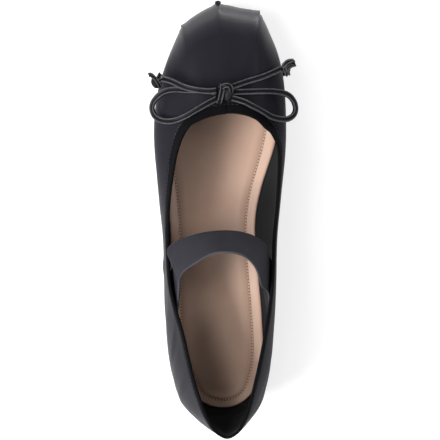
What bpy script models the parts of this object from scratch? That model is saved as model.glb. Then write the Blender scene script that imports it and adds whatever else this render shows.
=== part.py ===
"""Ballet flat for the left foot: satin upper, elastic instep strap, cord bow, padded insole, low heel.

Blender 4.5 script in metres. +Z is up, +Y points to the toe, +X to the inner (medial) side of the foot.
The origin lies on the floor under the middle of the shoe's length and width.
"""
import math
from collections import namedtuple

import bmesh
import bpy
from mathutils import Matrix, Vector

# Overall sizes of the upper
UPPER_LENGTH = 0.2500
BALL_WIDTH = 0.0765
BACK_HEIGHT = 0.058
QUARTER_HEIGHT = 0.040
THROAT_HEIGHT = 0.046
BULGE_HEIGHT = 0.028
UPPER_WALL = 0.0016
FOLD_RISE = 0.0013

# Sole, heel and insole
SOLE_THICKNESS = 0.0030
SOLE_MARGIN = 0.0012
HEEL_HEIGHT = 0.0100
HEEL_LENGTH = 0.0560
HEEL_SETBACK = 0.0010
HEEL_EDGE = 0.0008
TOE_SPRING = 0.0065
INSOLE_THICKNESS = 0.0040
RIM_PUFF = 0.0010
SEAM_INSET = 0.0050

# Strap over the instep
STRAP_HEIGHT = 0.0655
STRAP_THICKNESS = 0.0016

# Bow of thin cord
CORD_DIAMETER = 0.0030
KNOT_SIZE = (0.0080, 0.0104, 0.0066)
TAIL_KNOT_SIZE = (0.0066, 0.0062, 0.0056)

# Clearance between touching pieces
GAP = 0.0003

# Mesh resolution
RIBS_PER_ROW = 3
LOWER_STEPS = 4
UPPER_STEPS = 9
HEEL_STEPS = 30
CURVE_STEPS = 12
SEARCH_STEPS = 25
V_EDGE = 0.35

# Ribs of the last, one row each, from the back seam along the outer side, round the toe and home.
# edge is the widest line of the wall and top is the topline. Across is a share of half BALL_WIDTH,
# along a share of UPPER_LENGTH from the back, edge_height a share of BULGE_HEIGHT and tuck, how far
# the feather edge lies inside the widest line, a share of half BALL_WIDTH. The topline's height is
# QUARTER_HEIGHT plus these shares of the rises to BACK_HEIGHT and THROAT_HEIGHT.
Rib = namedtuple(
    "Rib",
    "edge_across edge_along edge_height tuck top_across top_along back_rise throat_rise",
)
RIBS = [
    Rib(0.052, 0.000, 0.80, 0.235, 0.055, 0.009, 1.00, 0.00),
    Rib(-0.222, 0.005, 0.80, 0.235, -0.118, 0.024, 1.00, 0.00),
    Rib(-0.458, 0.027, 0.80, 0.215, -0.230, 0.051, 1.00, 0.00),
    Rib(-0.643, 0.064, 0.80, 0.180, -0.330, 0.086, 0.96, 0.00),
    Rib(-0.774, 0.140, 0.80, 0.165, -0.462, 0.152, 0.85, 0.00),
    Rib(-0.847, 0.254, 0.82, 0.150, -0.612, 0.254, 0.64, 0.00),
    Rib(-0.860, 0.358, 0.82, 0.150, -0.786, 0.355, 0.34, 0.00),
    Rib(-0.876, 0.462, 0.82, 0.165, -0.826, 0.462, 0.09, 0.00),
    Rib(-0.931, 0.550, 0.79, 0.150, -0.802, 0.552, 0.00, 0.00),
    Rib(-0.983, 0.646, 0.75, 0.115, -0.722, 0.644, 0.00, 0.22),
    Rib(-0.993, 0.726, 0.72, 0.092, -0.651, 0.690, 0.00, 0.45),
    Rib(-0.939, 0.794, 0.70, 0.092, -0.583, 0.716, 0.00, 0.62),
    Rib(-0.837, 0.848, 0.68, 0.092, -0.486, 0.739, 0.00, 0.80),
    Rib(-0.719, 0.896, 0.66, 0.092, -0.356, 0.751, 0.00, 0.90),
    Rib(-0.565, 0.944, 0.64, 0.092, -0.233, 0.759, 0.00, 0.97),
    Rib(-0.353, 0.973, 0.61, 0.092, -0.118, 0.764, 0.00, 1.00),
    Rib(-0.021, 0.996, 0.59, 0.092, 0.013, 0.768, 0.00, 1.00),
    Rib(0.301, 0.989, 0.61, 0.092, 0.144, 0.769, 0.00, 1.00),
    Rib(0.586, 0.975, 0.64, 0.092, 0.288, 0.766, 0.00, 1.00),
    Rib(0.771, 0.923, 0.66, 0.092, 0.424, 0.760, 0.00, 0.95),
    Rib(0.894, 0.874, 0.68, 0.092, 0.546, 0.749, 0.00, 0.82),
    Rib(0.967, 0.814, 0.70, 0.092, 0.661, 0.731, 0.00, 0.62),
    Rib(1.001, 0.735, 0.75, 0.105, 0.774, 0.713, 0.00, 0.42),
    Rib(0.988, 0.661, 0.82, 0.150, 0.871, 0.668, 0.00, 0.08),
    Rib(0.915, 0.554, 0.96, 0.350, 0.852, 0.554, 0.00, 0.00),
    Rib(0.860, 0.470, 1.07, 0.410, 0.804, 0.470, 0.09, 0.00),
    Rib(0.847, 0.358, 1.07, 0.363, 0.768, 0.358, 0.30, 0.00),
    Rib(0.829, 0.246, 0.96, 0.280, 0.659, 0.250, 0.64, 0.00),
    Rib(0.782, 0.142, 0.84, 0.188, 0.518, 0.150, 0.87, 0.00),
    Rib(0.669, 0.062, 0.80, 0.160, 0.397, 0.078, 0.97, 0.00),
    Rib(0.523, 0.028, 0.80, 0.205, 0.319, 0.045, 1.00, 0.00),
    Rib(0.309, 0.005, 0.80, 0.230, 0.220, 0.021, 1.00, 0.00),
]
# Rows of each side between which the heel's front edge lies
HEEL_OUTER_ROWS = (2, 8)
HEEL_INNER_ROWS = (24, 30)

# Gathered folds at the toe: where each stands on the rib table, its rise and its half width in rows.
Fold = namedtuple("Fold", "row rise width")
FOLDS = [
    Fold(14.0, 0.7, 0.34),
    Fold(16.0, 1.0, 0.30),
    Fold(18.0, 0.8, 0.34),
]

# Handles of the wall's curves as shares of their chords, and how far the top leans in past the chord.
TOE_HANDLE = 0.27
TOP_HANDLE = 0.42
TOP_CROWN = math.radians(10)
TUCK_HANDLE = 0.35
FOOT_HANDLE = 0.16
RISE_HANDLE = 0.50
# Share of the way from the widest line to the topline at which the folds have faded
FOLD_FADE = 0.45
# Height of the rounded topline as a share of UPPER_WALL
RIM_CROWN = 0.3

# Sole profile: where spring, flat and waist begin and end, as shares of UPPER_LENGTH from the back.
SPRING_START = 0.80
FLAT_END = 0.63
SEAT_START = 0.28
# Rings of the sole's edge: shares of SOLE_MARGIN out from the feather edge and of SOLE_THICKNESS up.
SOLE_RINGS = [(0.5, 0.0), (1.0, 0.25), (1.0, 0.8), (0.6, 1.0)]
# Rungs over the insole's rim as shares of SEAM_INSET, and those of a plain cap as shares of its width.
RIM_RUNGS = (0.5, 1.0, 1.5)
PLAIN_RUNGS = (0.25, 0.5, 0.75)
# The seam lies at most this share of the width in from the edge, where the insole is narrow.
SEAM_LIMIT = 0.3

# Strap sections: front and rear edge. Across is a share of half BALL_WIDTH, along a share of
# UPPER_LENGTH from the back and height a share of STRAP_HEIGHT.
StrapRow = namedtuple(
    "StrapRow", "front_across front_along front_height rear_across rear_along rear_height"
)
STRAP_ROWS = [
    StrapRow(-0.725, 0.424, 0.658, -0.655, 0.358, 0.745),
    StrapRow(-0.822, 0.446, 0.695, -0.640, 0.388, 0.810),
    StrapRow(-0.755, 0.464, 0.695, -0.570, 0.412, 0.875),
    StrapRow(-0.530, 0.480, 0.695, -0.400, 0.434, 0.930),
    StrapRow(-0.250, 0.491, 0.702, -0.200, 0.455, 0.975),
    StrapRow(0.040, 0.494, 0.704, 0.012, 0.462, 1.000),
    StrapRow(0.293, 0.490, 0.700, 0.248, 0.455, 0.988),
    StrapRow(0.480, 0.479, 0.684, 0.410, 0.434, 0.945),
    StrapRow(0.640, 0.459, 0.665, 0.510, 0.405, 0.885),
    StrapRow(0.690, 0.436, 0.640, 0.575, 0.368, 0.800),
]

# Strap ends sewn inside the walls: row on the rib table and height share v of each edge.
StrapEnd = namedtuple("StrapEnd", "front_row front_v rear_row rear_v")
OUTER_ENDS = [StrapEnd(6.00, 0.35, 5.05, 0.62), StrapEnd(6.25, 0.78, 5.40, 0.88)]
INNER_ENDS = [StrapEnd(25.65, 0.62, 26.20, 0.90), StrapEnd(26.30, 0.20, 26.90, 0.50)]
STRAP_STEPS = 4
# Lines of the strap's section, as shares of its width: its edges, the shoulders beside them, its middle
STRAP_LINES = (0.0, 0.06, 0.5, 0.94, 1.0)

# Cord routes, points chosen by hand: the loops leave the knot, round their ends and come home.
OUTER_LOOP = [
    (-0.0035, 0.0779, 0.0446), (-0.0114, 0.0787, 0.0433), (-0.0200, 0.0786, 0.0403),
    (-0.0265, 0.0784, 0.0367), (-0.0317, 0.0768, 0.0331), (-0.0359, 0.0735, 0.0306),
    (-0.0386, 0.0694, 0.0296), (-0.0390, 0.0656, 0.0297), (-0.0374, 0.0623, 0.0312),
    (-0.0342, 0.0607, 0.0347), (-0.0296, 0.0607, 0.0390), (-0.0246, 0.0623, 0.0426),
    (-0.0188, 0.0653, 0.0449), (-0.0131, 0.0689, 0.0457), (-0.0081, 0.0720, 0.0459),
    (-0.0030, 0.0746, 0.0460),
]
INNER_LOOP = [
    (0.0053, 0.0782, 0.0450), (0.0100, 0.0781, 0.0449), (0.0144, 0.0781, 0.0445),
    (0.0216, 0.0779, 0.0424), (0.0285, 0.0772, 0.0388), (0.0344, 0.0759, 0.0356),
    (0.0386, 0.0737, 0.0339), (0.0413, 0.0702, 0.0334), (0.0422, 0.0661, 0.0338),
    (0.0409, 0.0629, 0.0350), (0.0375, 0.0611, 0.0370), (0.0332, 0.0614, 0.0395),
    (0.0278, 0.0633, 0.0425), (0.0219, 0.0670, 0.0450), (0.0167, 0.0701, 0.0461),
    (0.0121, 0.0727, 0.0463), (0.0053, 0.0749, 0.0462),
]
OUTER_TAIL = [
    (-0.0035, 0.0794, 0.0481), (-0.0089, 0.0790, 0.0472), (-0.0155, 0.0797, 0.0456),
    (-0.0217, 0.0810, 0.0427), (-0.0281, 0.0833, 0.0380), (-0.0330, 0.0841, 0.0332),
]
INNER_TAIL = [
    (0.0053, 0.0812, 0.0468), (0.0140, 0.0837, 0.0434), (0.0237, 0.0860, 0.0394),
    (0.0338, 0.0894, 0.0339),
]
CORD_POINTS = {"loop": 30, "tail": 13}
# Knots: place, tilt about X to the vamp's slope and turn about Z in degrees
KNOT_AT = (0.0009, 0.0787, 0.0462)
KNOT_TURNS = (-12, 0)
OUTER_TAIL_KNOT_AT = (-0.0356, 0.0836, 0.0306)
OUTER_TAIL_KNOT_TURNS = (0, 23)
INNER_TAIL_KNOT_AT = (0.0370, 0.0903, 0.0322)
INNER_TAIL_KNOT_TURNS = (0, -28)
KNOT_LOBES = 3
LOBE_RISE = 0.06

# Colour, roughness and metallic value of each material
FINISHES = {
    "black_satin": ((0.030, 0.029, 0.034), 0.55, 0.0),
    "strap_elastic": ((0.038, 0.038, 0.048), 0.60, 0.0),
    "insole_leather": ((0.50, 0.36, 0.29), 0.50, 0.0),
    "outsole_rubber": ((0.025, 0.025, 0.026), 0.70, 0.0),
    "heel_rubber": ((0.020, 0.020, 0.021), 0.65, 0.0),
    "bow_cord": ((0.016, 0.016, 0.018), 0.35, 0.0),
}

UP = Vector((0, 0, 1))


def clear_scene():
    for item in list(bpy.data.objects):
        bpy.data.objects.remove(item, do_unlink=True)


def make_material(name):
    colour, roughness, metallic = FINISHES[name]
    material = bpy.data.materials.new(name)
    material.use_nodes = True
    shader = material.node_tree.nodes["Principled BSDF"]
    shader.inputs["Base Color"].default_value = (*colour, 1.0)
    shader.inputs["Roughness"].default_value = roughness
    shader.inputs["Metallic"].default_value = metallic
    return material


def catmull(a, b, c, d, t):
    """Smooth curve from b to c, steered by a and d."""
    return 0.5 * (2 * b + (c - a) * t + (2 * a - 5 * b + 4 * c - d) * t * t
                  + (3 * b - a - 3 * c + d) * t ** 3)


def rib_at(u):
    """Rib between two rows of the closed rib table, u counted in rows."""
    first = math.floor(u)
    share = u - first
    near = [RIBS[(first + k) % len(RIBS)] for k in (-1, 0, 1, 2)]
    return Rib(*(catmull(*column, share) for column in zip(*near)))


def bezier(points, t):
    a, b, c, d = points
    s = 1 - t
    return a * s ** 3 + b * (3 * s * s * t) + c * (3 * s * t * t) + d * t ** 3


def along(share):
    """Distance along the shoe from its middle, for a share of the length from the back."""
    return (share - 0.5) * UPPER_LENGTH


def fold_rise(u):
    """How far the toe folds stand out at rib u."""
    rise = 0.0
    for fold in FOLDS:
        away = abs(u % len(RIBS) - fold.row) / fold.width
        rise += fold.rise * FOLD_RISE * max(0.0, 1.0 - away) ** 1.5
    return rise


def raw_plan(u):
    rib = rib_at(u)
    return Vector((rib.edge_across * BALL_WIDTH / 2, along(rib.edge_along), 0))


def plan_normal(u):
    """Unit vector in the floor plane that points out of the shoe at rib u."""
    step = 0.02
    run = raw_plan(u + step) - raw_plan(u - step)
    return Vector((-run.y, run.x, 0)).normalized()


def mesh_ribs():
    return [k / RIBS_PER_ROW for k in range(len(RIBS) * RIBS_PER_ROW)]


def plan_fit():
    """Scale and shift that bring the widest line to the named length and width."""
    line = [raw_plan(u) + plan_normal(u) * fold_rise(u) for u in mesh_ribs()]
    xs = [point.x for point in line]
    ys = [point.y for point in line]
    scale = Vector((BALL_WIDTH / (max(xs) - min(xs)), UPPER_LENGTH / (max(ys) - min(ys)), 1))
    middle = Vector(((max(xs) + min(xs)) / 2, (max(ys) + min(ys)) / 2, 0))
    return scale, middle


PLAN_SCALE, PLAN_MIDDLE = plan_fit()


def fitted(point):
    return (point - PLAN_MIDDLE) * PLAN_SCALE


def ease(t):
    t = min(1.0, max(0.0, t))
    return t * t * (3 - 2 * t)


def tread_height(y):
    """Underside of the outsole: toe spring, flat forefoot, waist and level heel seat."""
    share = y / UPPER_LENGTH + 0.5
    spring = max(0.0, (share - SPRING_START) / (1 - SPRING_START))
    waist = ease((FLAT_END - share) / (FLAT_END - SEAT_START))
    return TOE_SPRING * spring ** 2 + HEEL_HEIGHT * waist


def sole_top(y):
    return tread_height(y) + SOLE_THICKNESS


def edge_point(u):
    """Widest point of the wall on rib u."""
    plan = fitted(raw_plan(u))
    plan.z = rib_at(u).edge_height * BULGE_HEIGHT
    return plan


def feather_point(u, outset=0.0):
    """Foot of the wall on rib u, or a point further out beside it."""
    tuck = rib_at(u).tuck * BALL_WIDTH / 2 - outset
    plan = fitted(raw_plan(u) - plan_normal(u) * tuck)
    plan.z = sole_top(plan.y) + GAP
    return plan


def topline_point(u):
    rib = rib_at(u)
    plan = fitted(Vector((rib.top_across * BALL_WIDTH / 2, along(rib.top_along), 0)))
    plan.z = (QUARTER_HEIGHT + rib.back_rise * (BACK_HEIGHT - QUARTER_HEIGHT)
              + rib.throat_rise * (THROAT_HEIGHT - QUARTER_HEIGHT))
    return plan


def outer(u, v):
    """Outer face of the upper: v is 0 at the feather edge, V_EDGE at the widest line, 1 at the topline."""
    edge = edge_point(u)
    side = plan_normal(u)
    if v < V_EDGE:
        foot = feather_point(u)
        rise = edge.z - foot.z
        start = side * (edge - foot).dot(side) * TUCK_HANDLE + UP * rise * FOOT_HANDLE
        point = bezier((foot, foot + start, edge - UP * rise * RISE_HANDLE, edge), v / V_EDGE)
        fold = ease(v / V_EDGE)
    else:
        top = topline_point(u)
        reach = edge - top
        drop = -reach.z
        reach.z = 0
        chord = math.hypot(reach.length, drop)
        slope = math.atan2(drop, reach.length) - TOP_CROWN
        lean = reach.normalized() * math.cos(slope) - UP * math.sin(slope)
        t = (v - V_EDGE) / (1 - V_EDGE)
        point = bezier(
            (edge, edge + UP * chord * TOE_HANDLE, top + lean * chord * TOP_HANDLE, top), t
        )
        fold = 1 - ease(t / FOLD_FADE)
    return point + side * fold_rise(u) * fold


def wall(u, v, depth=0.0):
    """Point at a depth under the outer face, measured square to it."""
    step = 0.01
    low, high = max(0.0, v - step), min(1.0, v + step)
    around = outer(u + step, v) - outer(u - step, v)
    upward = outer(u, high) - outer(u, low)
    normal = upward.cross(around).normalized()
    return outer(u, v) - normal * depth


def wall_at_height(u, height, depth):
    """Point of the wall at a depth and at a height above the floor."""
    low, high = 0.0, V_EDGE
    for _ in range(SEARCH_STEPS):
        middle = (low + high) / 2
        if wall(u, middle, depth).z < height:
            low = middle
        else:
            high = middle
    point = wall(u, low, depth)
    point.z = height
    return point


def finish(bm, name, material):
    """Turn a bmesh into a smooth-shaded object with its faces pointing out."""
    bmesh.ops.recalc_face_normals(bm, faces=bm.faces)
    mesh = bpy.data.meshes.new(name)
    bm.to_mesh(mesh)
    bm.free()
    mesh.shade_smooth()
    mesh.set_sharp_from_angle(angle=math.radians(40))
    mesh.materials.append(make_material(material))
    item = bpy.data.objects.new(name, mesh)
    return item


def skin(bm, loops, closed=True):
    """Quads between neighbouring loops of vertices."""
    for first, second in zip(loops, loops[1:]):
        count = len(first)
        for i in range(count if closed else count - 1):
            j = (i + 1) % count
            bm.faces.new((first[i], first[j], second[j], second[i]))


def make_upper():
    """Hollow wall: up the outer face, over the topline and down the lining to the feather edge."""
    heights = [V_EDGE * k / LOWER_STEPS for k in range(LOWER_STEPS)]
    heights += [V_EDGE + (1 - V_EDGE) * k / UPPER_STEPS for k in range(UPPER_STEPS + 1)]
    bm = bmesh.new()
    loops = [[bm.verts.new(wall(u, v)) for u in mesh_ribs()] for v in heights]
    rim = []
    for u in mesh_ribs():
        middle = wall(u, 1.0, UPPER_WALL / 2)
        rise = (wall(u, 1.0) - wall(u, 0.97)).normalized()
        rim.append(bm.verts.new(middle + rise * UPPER_WALL * RIM_CROWN))
    loops.append(rim)
    loops += [[bm.verts.new(wall(u, v, UPPER_WALL)) for u in mesh_ribs()] for v in reversed(heights)]
    skin(bm, loops + [loops[0]])
    return finish(bm, "upper", "black_satin")


def cap(bm, loop, surface, inset=0.0):
    """Close a ring round the shoe with rungs from its outer to its inner side, with a rim if inset."""
    count = len(loop)
    rows = []
    for i in range(1, count // 2):
        left, right = loop[i], loop[count - i]
        span = (right.co - left.co).length
        seam = min(inset, SEAM_LIMIT * span) / span
        near = [seam * rung for rung in RIM_RUNGS]
        shares = near + [0.5] + [1 - share for share in reversed(near)] if inset else PLAIN_RUNGS
        row = [left]
        for share in shares:
            point = left.co.lerp(right.co, share)
            edge_distance = min(share, 1 - share) * span
            row.append(bm.verts.new((point.x, point.y, surface(point.y, edge_distance, seam * span))))
        rows.append(row + [right])
    for row, end in ((rows[0], loop[0]), (rows[-1], loop[count // 2])):
        for a, b in zip(row, row[1:]):
            bm.faces.new((end, a, b))
    skin(bm, rows, closed=False)


def make_outsole():
    """Thin rubber sole: its edge stands a little outside the feather edge."""
    bm = bmesh.new()
    rings = []
    for out_share, up_share in SOLE_RINGS:
        ring = []
        for u in mesh_ribs():
            point = feather_point(u, SOLE_MARGIN * out_share)
            point.z = tread_height(point.y) + SOLE_THICKNESS * up_share
            ring.append(bm.verts.new(point))
        rings.append(ring)
    skin(bm, rings)
    cap(bm, rings[0], lambda y, *_: tread_height(y))
    cap(bm, rings[-1], lambda y, *_: sole_top(y))
    return finish(bm, "outsole", "outsole_rubber")


def rib_at_length(y, low, high):
    """Rib whose foot lies at y, between two rows."""
    rising = feather_point(high).y > feather_point(low).y
    for _ in range(SEARCH_STEPS):
        middle = (low + high) / 2
        if (feather_point(middle).y < y) == rising:
            low = middle
        else:
            high = middle
    return low


def make_heel():
    """Low block under the heel seat, straight across at its front."""
    front = along(0) + HEEL_LENGTH
    outer_rib = rib_at_length(front, *HEEL_OUTER_ROWS)
    inner_rib = rib_at_length(front, *HEEL_INNER_ROWS) - len(RIBS)
    ribs = [inner_rib + (outer_rib - inner_rib) * k / HEEL_STEPS for k in range(HEEL_STEPS + 1)]
    line = [feather_point(rib) for rib in ribs]
    centre = Vector((0, along(0) + HEEL_LENGTH / 2, 0))
    bm = bmesh.new()
    rings = []
    top = HEEL_HEIGHT - GAP
    for inset, height in ((HEEL_SETBACK + HEEL_EDGE, 0.0), (HEEL_SETBACK, HEEL_EDGE), (0.0, top)):
        ring = []
        for point in line:
            flat = Vector((point.x, point.y, 0))
            inward = (centre - flat).normalized() * inset
            ring.append(bm.verts.new(flat + inward + UP * height))
        rings.append(ring)
    skin(bm, rings)
    bm.faces.new(rings[0])
    bm.faces.new(rings[-1])
    return finish(bm, "heel", "heel_rubber")


def make_insole():
    """Padded insole that fills the foot of the upper, with a puffed rim outside its seam."""
    bm = bmesh.new()
    depth = UPPER_WALL + GAP
    under = []
    lower = []
    brims = []
    for u in mesh_ribs():
        foot = wall(u, 0.0, depth)
        base = sole_top(foot.y) + GAP
        under.append(bm.verts.new((foot.x, foot.y, base)))
        lower.append(bm.verts.new(foot))
        brims.append(bm.verts.new(wall_at_height(u, base + INSOLE_THICKNESS, depth)))
    skin(bm, [under, lower, brims])

    def surface(y, edge_distance, seam):
        puff = RIM_PUFF * max(0.0, 1 - abs(edge_distance - seam / 2) * 2 / seam)
        return sole_top(y) + GAP + INSOLE_THICKNESS + puff

    cap(bm, under, lambda y, *_: sole_top(y) + GAP)
    cap(bm, brims, surface, SEAM_INSET)
    return finish(bm, "insole", "insole_leather")


def strap_edges():
    """Front and rear edge points of the strap, from the outer wall over the instep to the inner wall."""
    depth = UPPER_WALL + 2 * GAP + STRAP_THICKNESS / 2
    rows = []
    for end in OUTER_ENDS:
        rows.append((wall(end.front_row, end.front_v, depth), wall(end.rear_row, end.rear_v, depth)))
    for row in STRAP_ROWS:
        front = Vector((row.front_across * BALL_WIDTH / 2, along(row.front_along),
                        row.front_height * STRAP_HEIGHT))
        rear = Vector((row.rear_across * BALL_WIDTH / 2, along(row.rear_along),
                       row.rear_height * STRAP_HEIGHT))
        rows.append((front, rear))
    for end in INNER_ENDS:
        rows.append((wall(end.front_row, end.front_v, depth), wall(end.rear_row, end.rear_v, depth)))
    return rows


def smooth_line(points, count):
    """Evenly spaced points on a smooth open curve through the given ones."""
    points = [Vector(point) for point in points]
    ends = [points[0] * 2 - points[1]] + points + [points[-1] * 2 - points[-2]]
    fine = []
    for i in range(1, len(ends) - 2):
        fine += [catmull(*ends[i - 1:i + 3], k / CURVE_STEPS) for k in range(CURVE_STEPS)]
    fine.append(points[-1])
    reach = [0.0]
    for a, b in zip(fine, fine[1:]):
        reach.append(reach[-1] + (b - a).length)
    line = []
    k = 0
    for i in range(count):
        target = reach[-1] * i / (count - 1)
        while k < len(fine) - 2 and reach[k + 1] < target:
            k += 1
        share = (target - reach[k]) / (reach[k + 1] - reach[k])
        line.append(fine[k].lerp(fine[k + 1], share))
    return line


def make_strap():
    """Elastic band swept between its two edges."""
    rows = strap_edges()
    count = (len(rows) - 1) * STRAP_STEPS + 1
    fronts = smooth_line([row[0] for row in rows], count)
    rears = smooth_line([row[1] for row in rows], count)
    bm = bmesh.new()
    loops = []
    for i in range(count):
        a, b = max(0, i - 1), min(count - 1, i + 1)
        travel = (fronts[b] - fronts[a]) + (rears[b] - rears[a])
        width = rears[i] - fronts[i]
        out = width.cross(travel).normalized() * STRAP_THICKNESS / 2
        line = [fronts[i].lerp(rears[i], share) for share in STRAP_LINES]
        ring = [line[0], line[1] + out, line[2] + out, line[3] + out, line[4]]
        ring += [line[3] - out, line[2] - out, line[1] - out]
        loops.append([bm.verts.new(point) for point in ring])
    skin(bm, loops)
    bm.faces.new(loops[0])
    bm.faces.new(loops[-1])
    return finish(bm, "strap", "strap_elastic")


def make_cord(name, route, count):
    """Tube of cord on a smooth curve through its route."""
    curve = bpy.data.curves.new(name, "CURVE")
    curve.dimensions = "3D"
    curve.bevel_depth = CORD_DIAMETER / 2
    curve.bevel_resolution = 2
    curve.use_fill_caps = True
    line = smooth_line(route, count)
    spline = curve.splines.new("POLY")
    spline.points.add(count - 1)
    for point, place in zip(spline.points, line):
        point.co = (*place, 1.0)
    curve.materials.append(make_material("bow_cord"))
    return bpy.data.objects.new(name, curve)


def make_knot(name, centre, size, turns):
    """Small knot of cord: a lumpy ellipsoid, tilted to the vamp's slope."""
    bm = bmesh.new()
    bmesh.ops.create_uvsphere(bm, u_segments=14, v_segments=8, radius=0.5)
    for vert in bm.verts:
        vert.co *= 1 + LOBE_RISE * math.sin(KNOT_LOBES * math.atan2(vert.co.y, vert.co.x))
    item = finish(bm, name, "bow_cord")
    item.data.transform(Matrix.Diagonal((*size, 1.0)))
    item.location = centre
    tilt, turn = turns
    item.rotation_euler = (math.radians(tilt), 0, math.radians(turn))
    return item


def main():
    clear_scene()
    flat = bpy.data.collections.new("ballet_flat")
    bpy.context.scene.collection.children.link(flat)
    pieces = [
        make_outsole(),
        make_heel(),
        make_upper(),
        make_insole(),
        make_strap(),
        make_cord("bow_loop_outer", OUTER_LOOP, CORD_POINTS["loop"]),
        make_cord("bow_loop_inner", INNER_LOOP, CORD_POINTS["loop"]),
        make_cord("bow_tail_outer", OUTER_TAIL, CORD_POINTS["tail"]),
        make_cord("bow_tail_inner", INNER_TAIL, CORD_POINTS["tail"]),
        make_knot("bow_knot", KNOT_AT, KNOT_SIZE, KNOT_TURNS),
        make_knot("tail_knot_outer", OUTER_TAIL_KNOT_AT, TAIL_KNOT_SIZE, OUTER_TAIL_KNOT_TURNS),
        make_knot("tail_knot_inner", INNER_TAIL_KNOT_AT, TAIL_KNOT_SIZE, INNER_TAIL_KNOT_TURNS),
    ]
    for piece in pieces:
        flat.objects.link(piece)


main()
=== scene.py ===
"""Looks of the ballet flat: black satin upper, elastic strap, bow of satin cord, padded leather insole.

Metres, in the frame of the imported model: +Z up, +Y to the toe, +X to the inner side of the foot.
Millimetre sizes below are written as a number times MM.
"""
import math
from collections import namedtuple

import bmesh
import bpy
import numpy as np
from mathutils import Matrix, Vector
from mathutils.bvhtree import BVHTree


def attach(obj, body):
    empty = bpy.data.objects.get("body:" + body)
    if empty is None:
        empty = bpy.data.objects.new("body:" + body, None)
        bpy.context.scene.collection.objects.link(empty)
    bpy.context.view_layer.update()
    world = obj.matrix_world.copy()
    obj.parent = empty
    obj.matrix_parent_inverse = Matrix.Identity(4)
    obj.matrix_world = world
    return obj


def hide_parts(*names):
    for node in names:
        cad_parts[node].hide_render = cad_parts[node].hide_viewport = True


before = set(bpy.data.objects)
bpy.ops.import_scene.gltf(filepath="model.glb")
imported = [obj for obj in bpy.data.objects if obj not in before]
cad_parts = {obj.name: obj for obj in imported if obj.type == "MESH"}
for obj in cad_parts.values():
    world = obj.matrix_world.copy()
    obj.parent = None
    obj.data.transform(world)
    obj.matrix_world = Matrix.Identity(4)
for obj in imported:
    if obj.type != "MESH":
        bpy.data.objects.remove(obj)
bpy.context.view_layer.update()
MM = 0.001

# Driving sizes, the same as the part's own
UPPER_LENGTH = 0.2500
BALL_WIDTH = 0.0765
BACK_HEIGHT = 0.058
QUARTER_HEIGHT = 0.040
THROAT_HEIGHT = 0.046
BULGE_HEIGHT = 0.028
UPPER_WALL = 1.6 * MM
FOLD_RISE = 1.3 * MM
SOLE_THICKNESS = 3.0 * MM
HEEL_HEIGHT = 10.0 * MM
TOE_SPRING = 6.5 * MM
INSOLE_THICKNESS = 4.0 * MM
STRAP_HEIGHT = 0.0655
STRAP_THICKNESS = 1.6 * MM
GAP = 0.3 * MM

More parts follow.
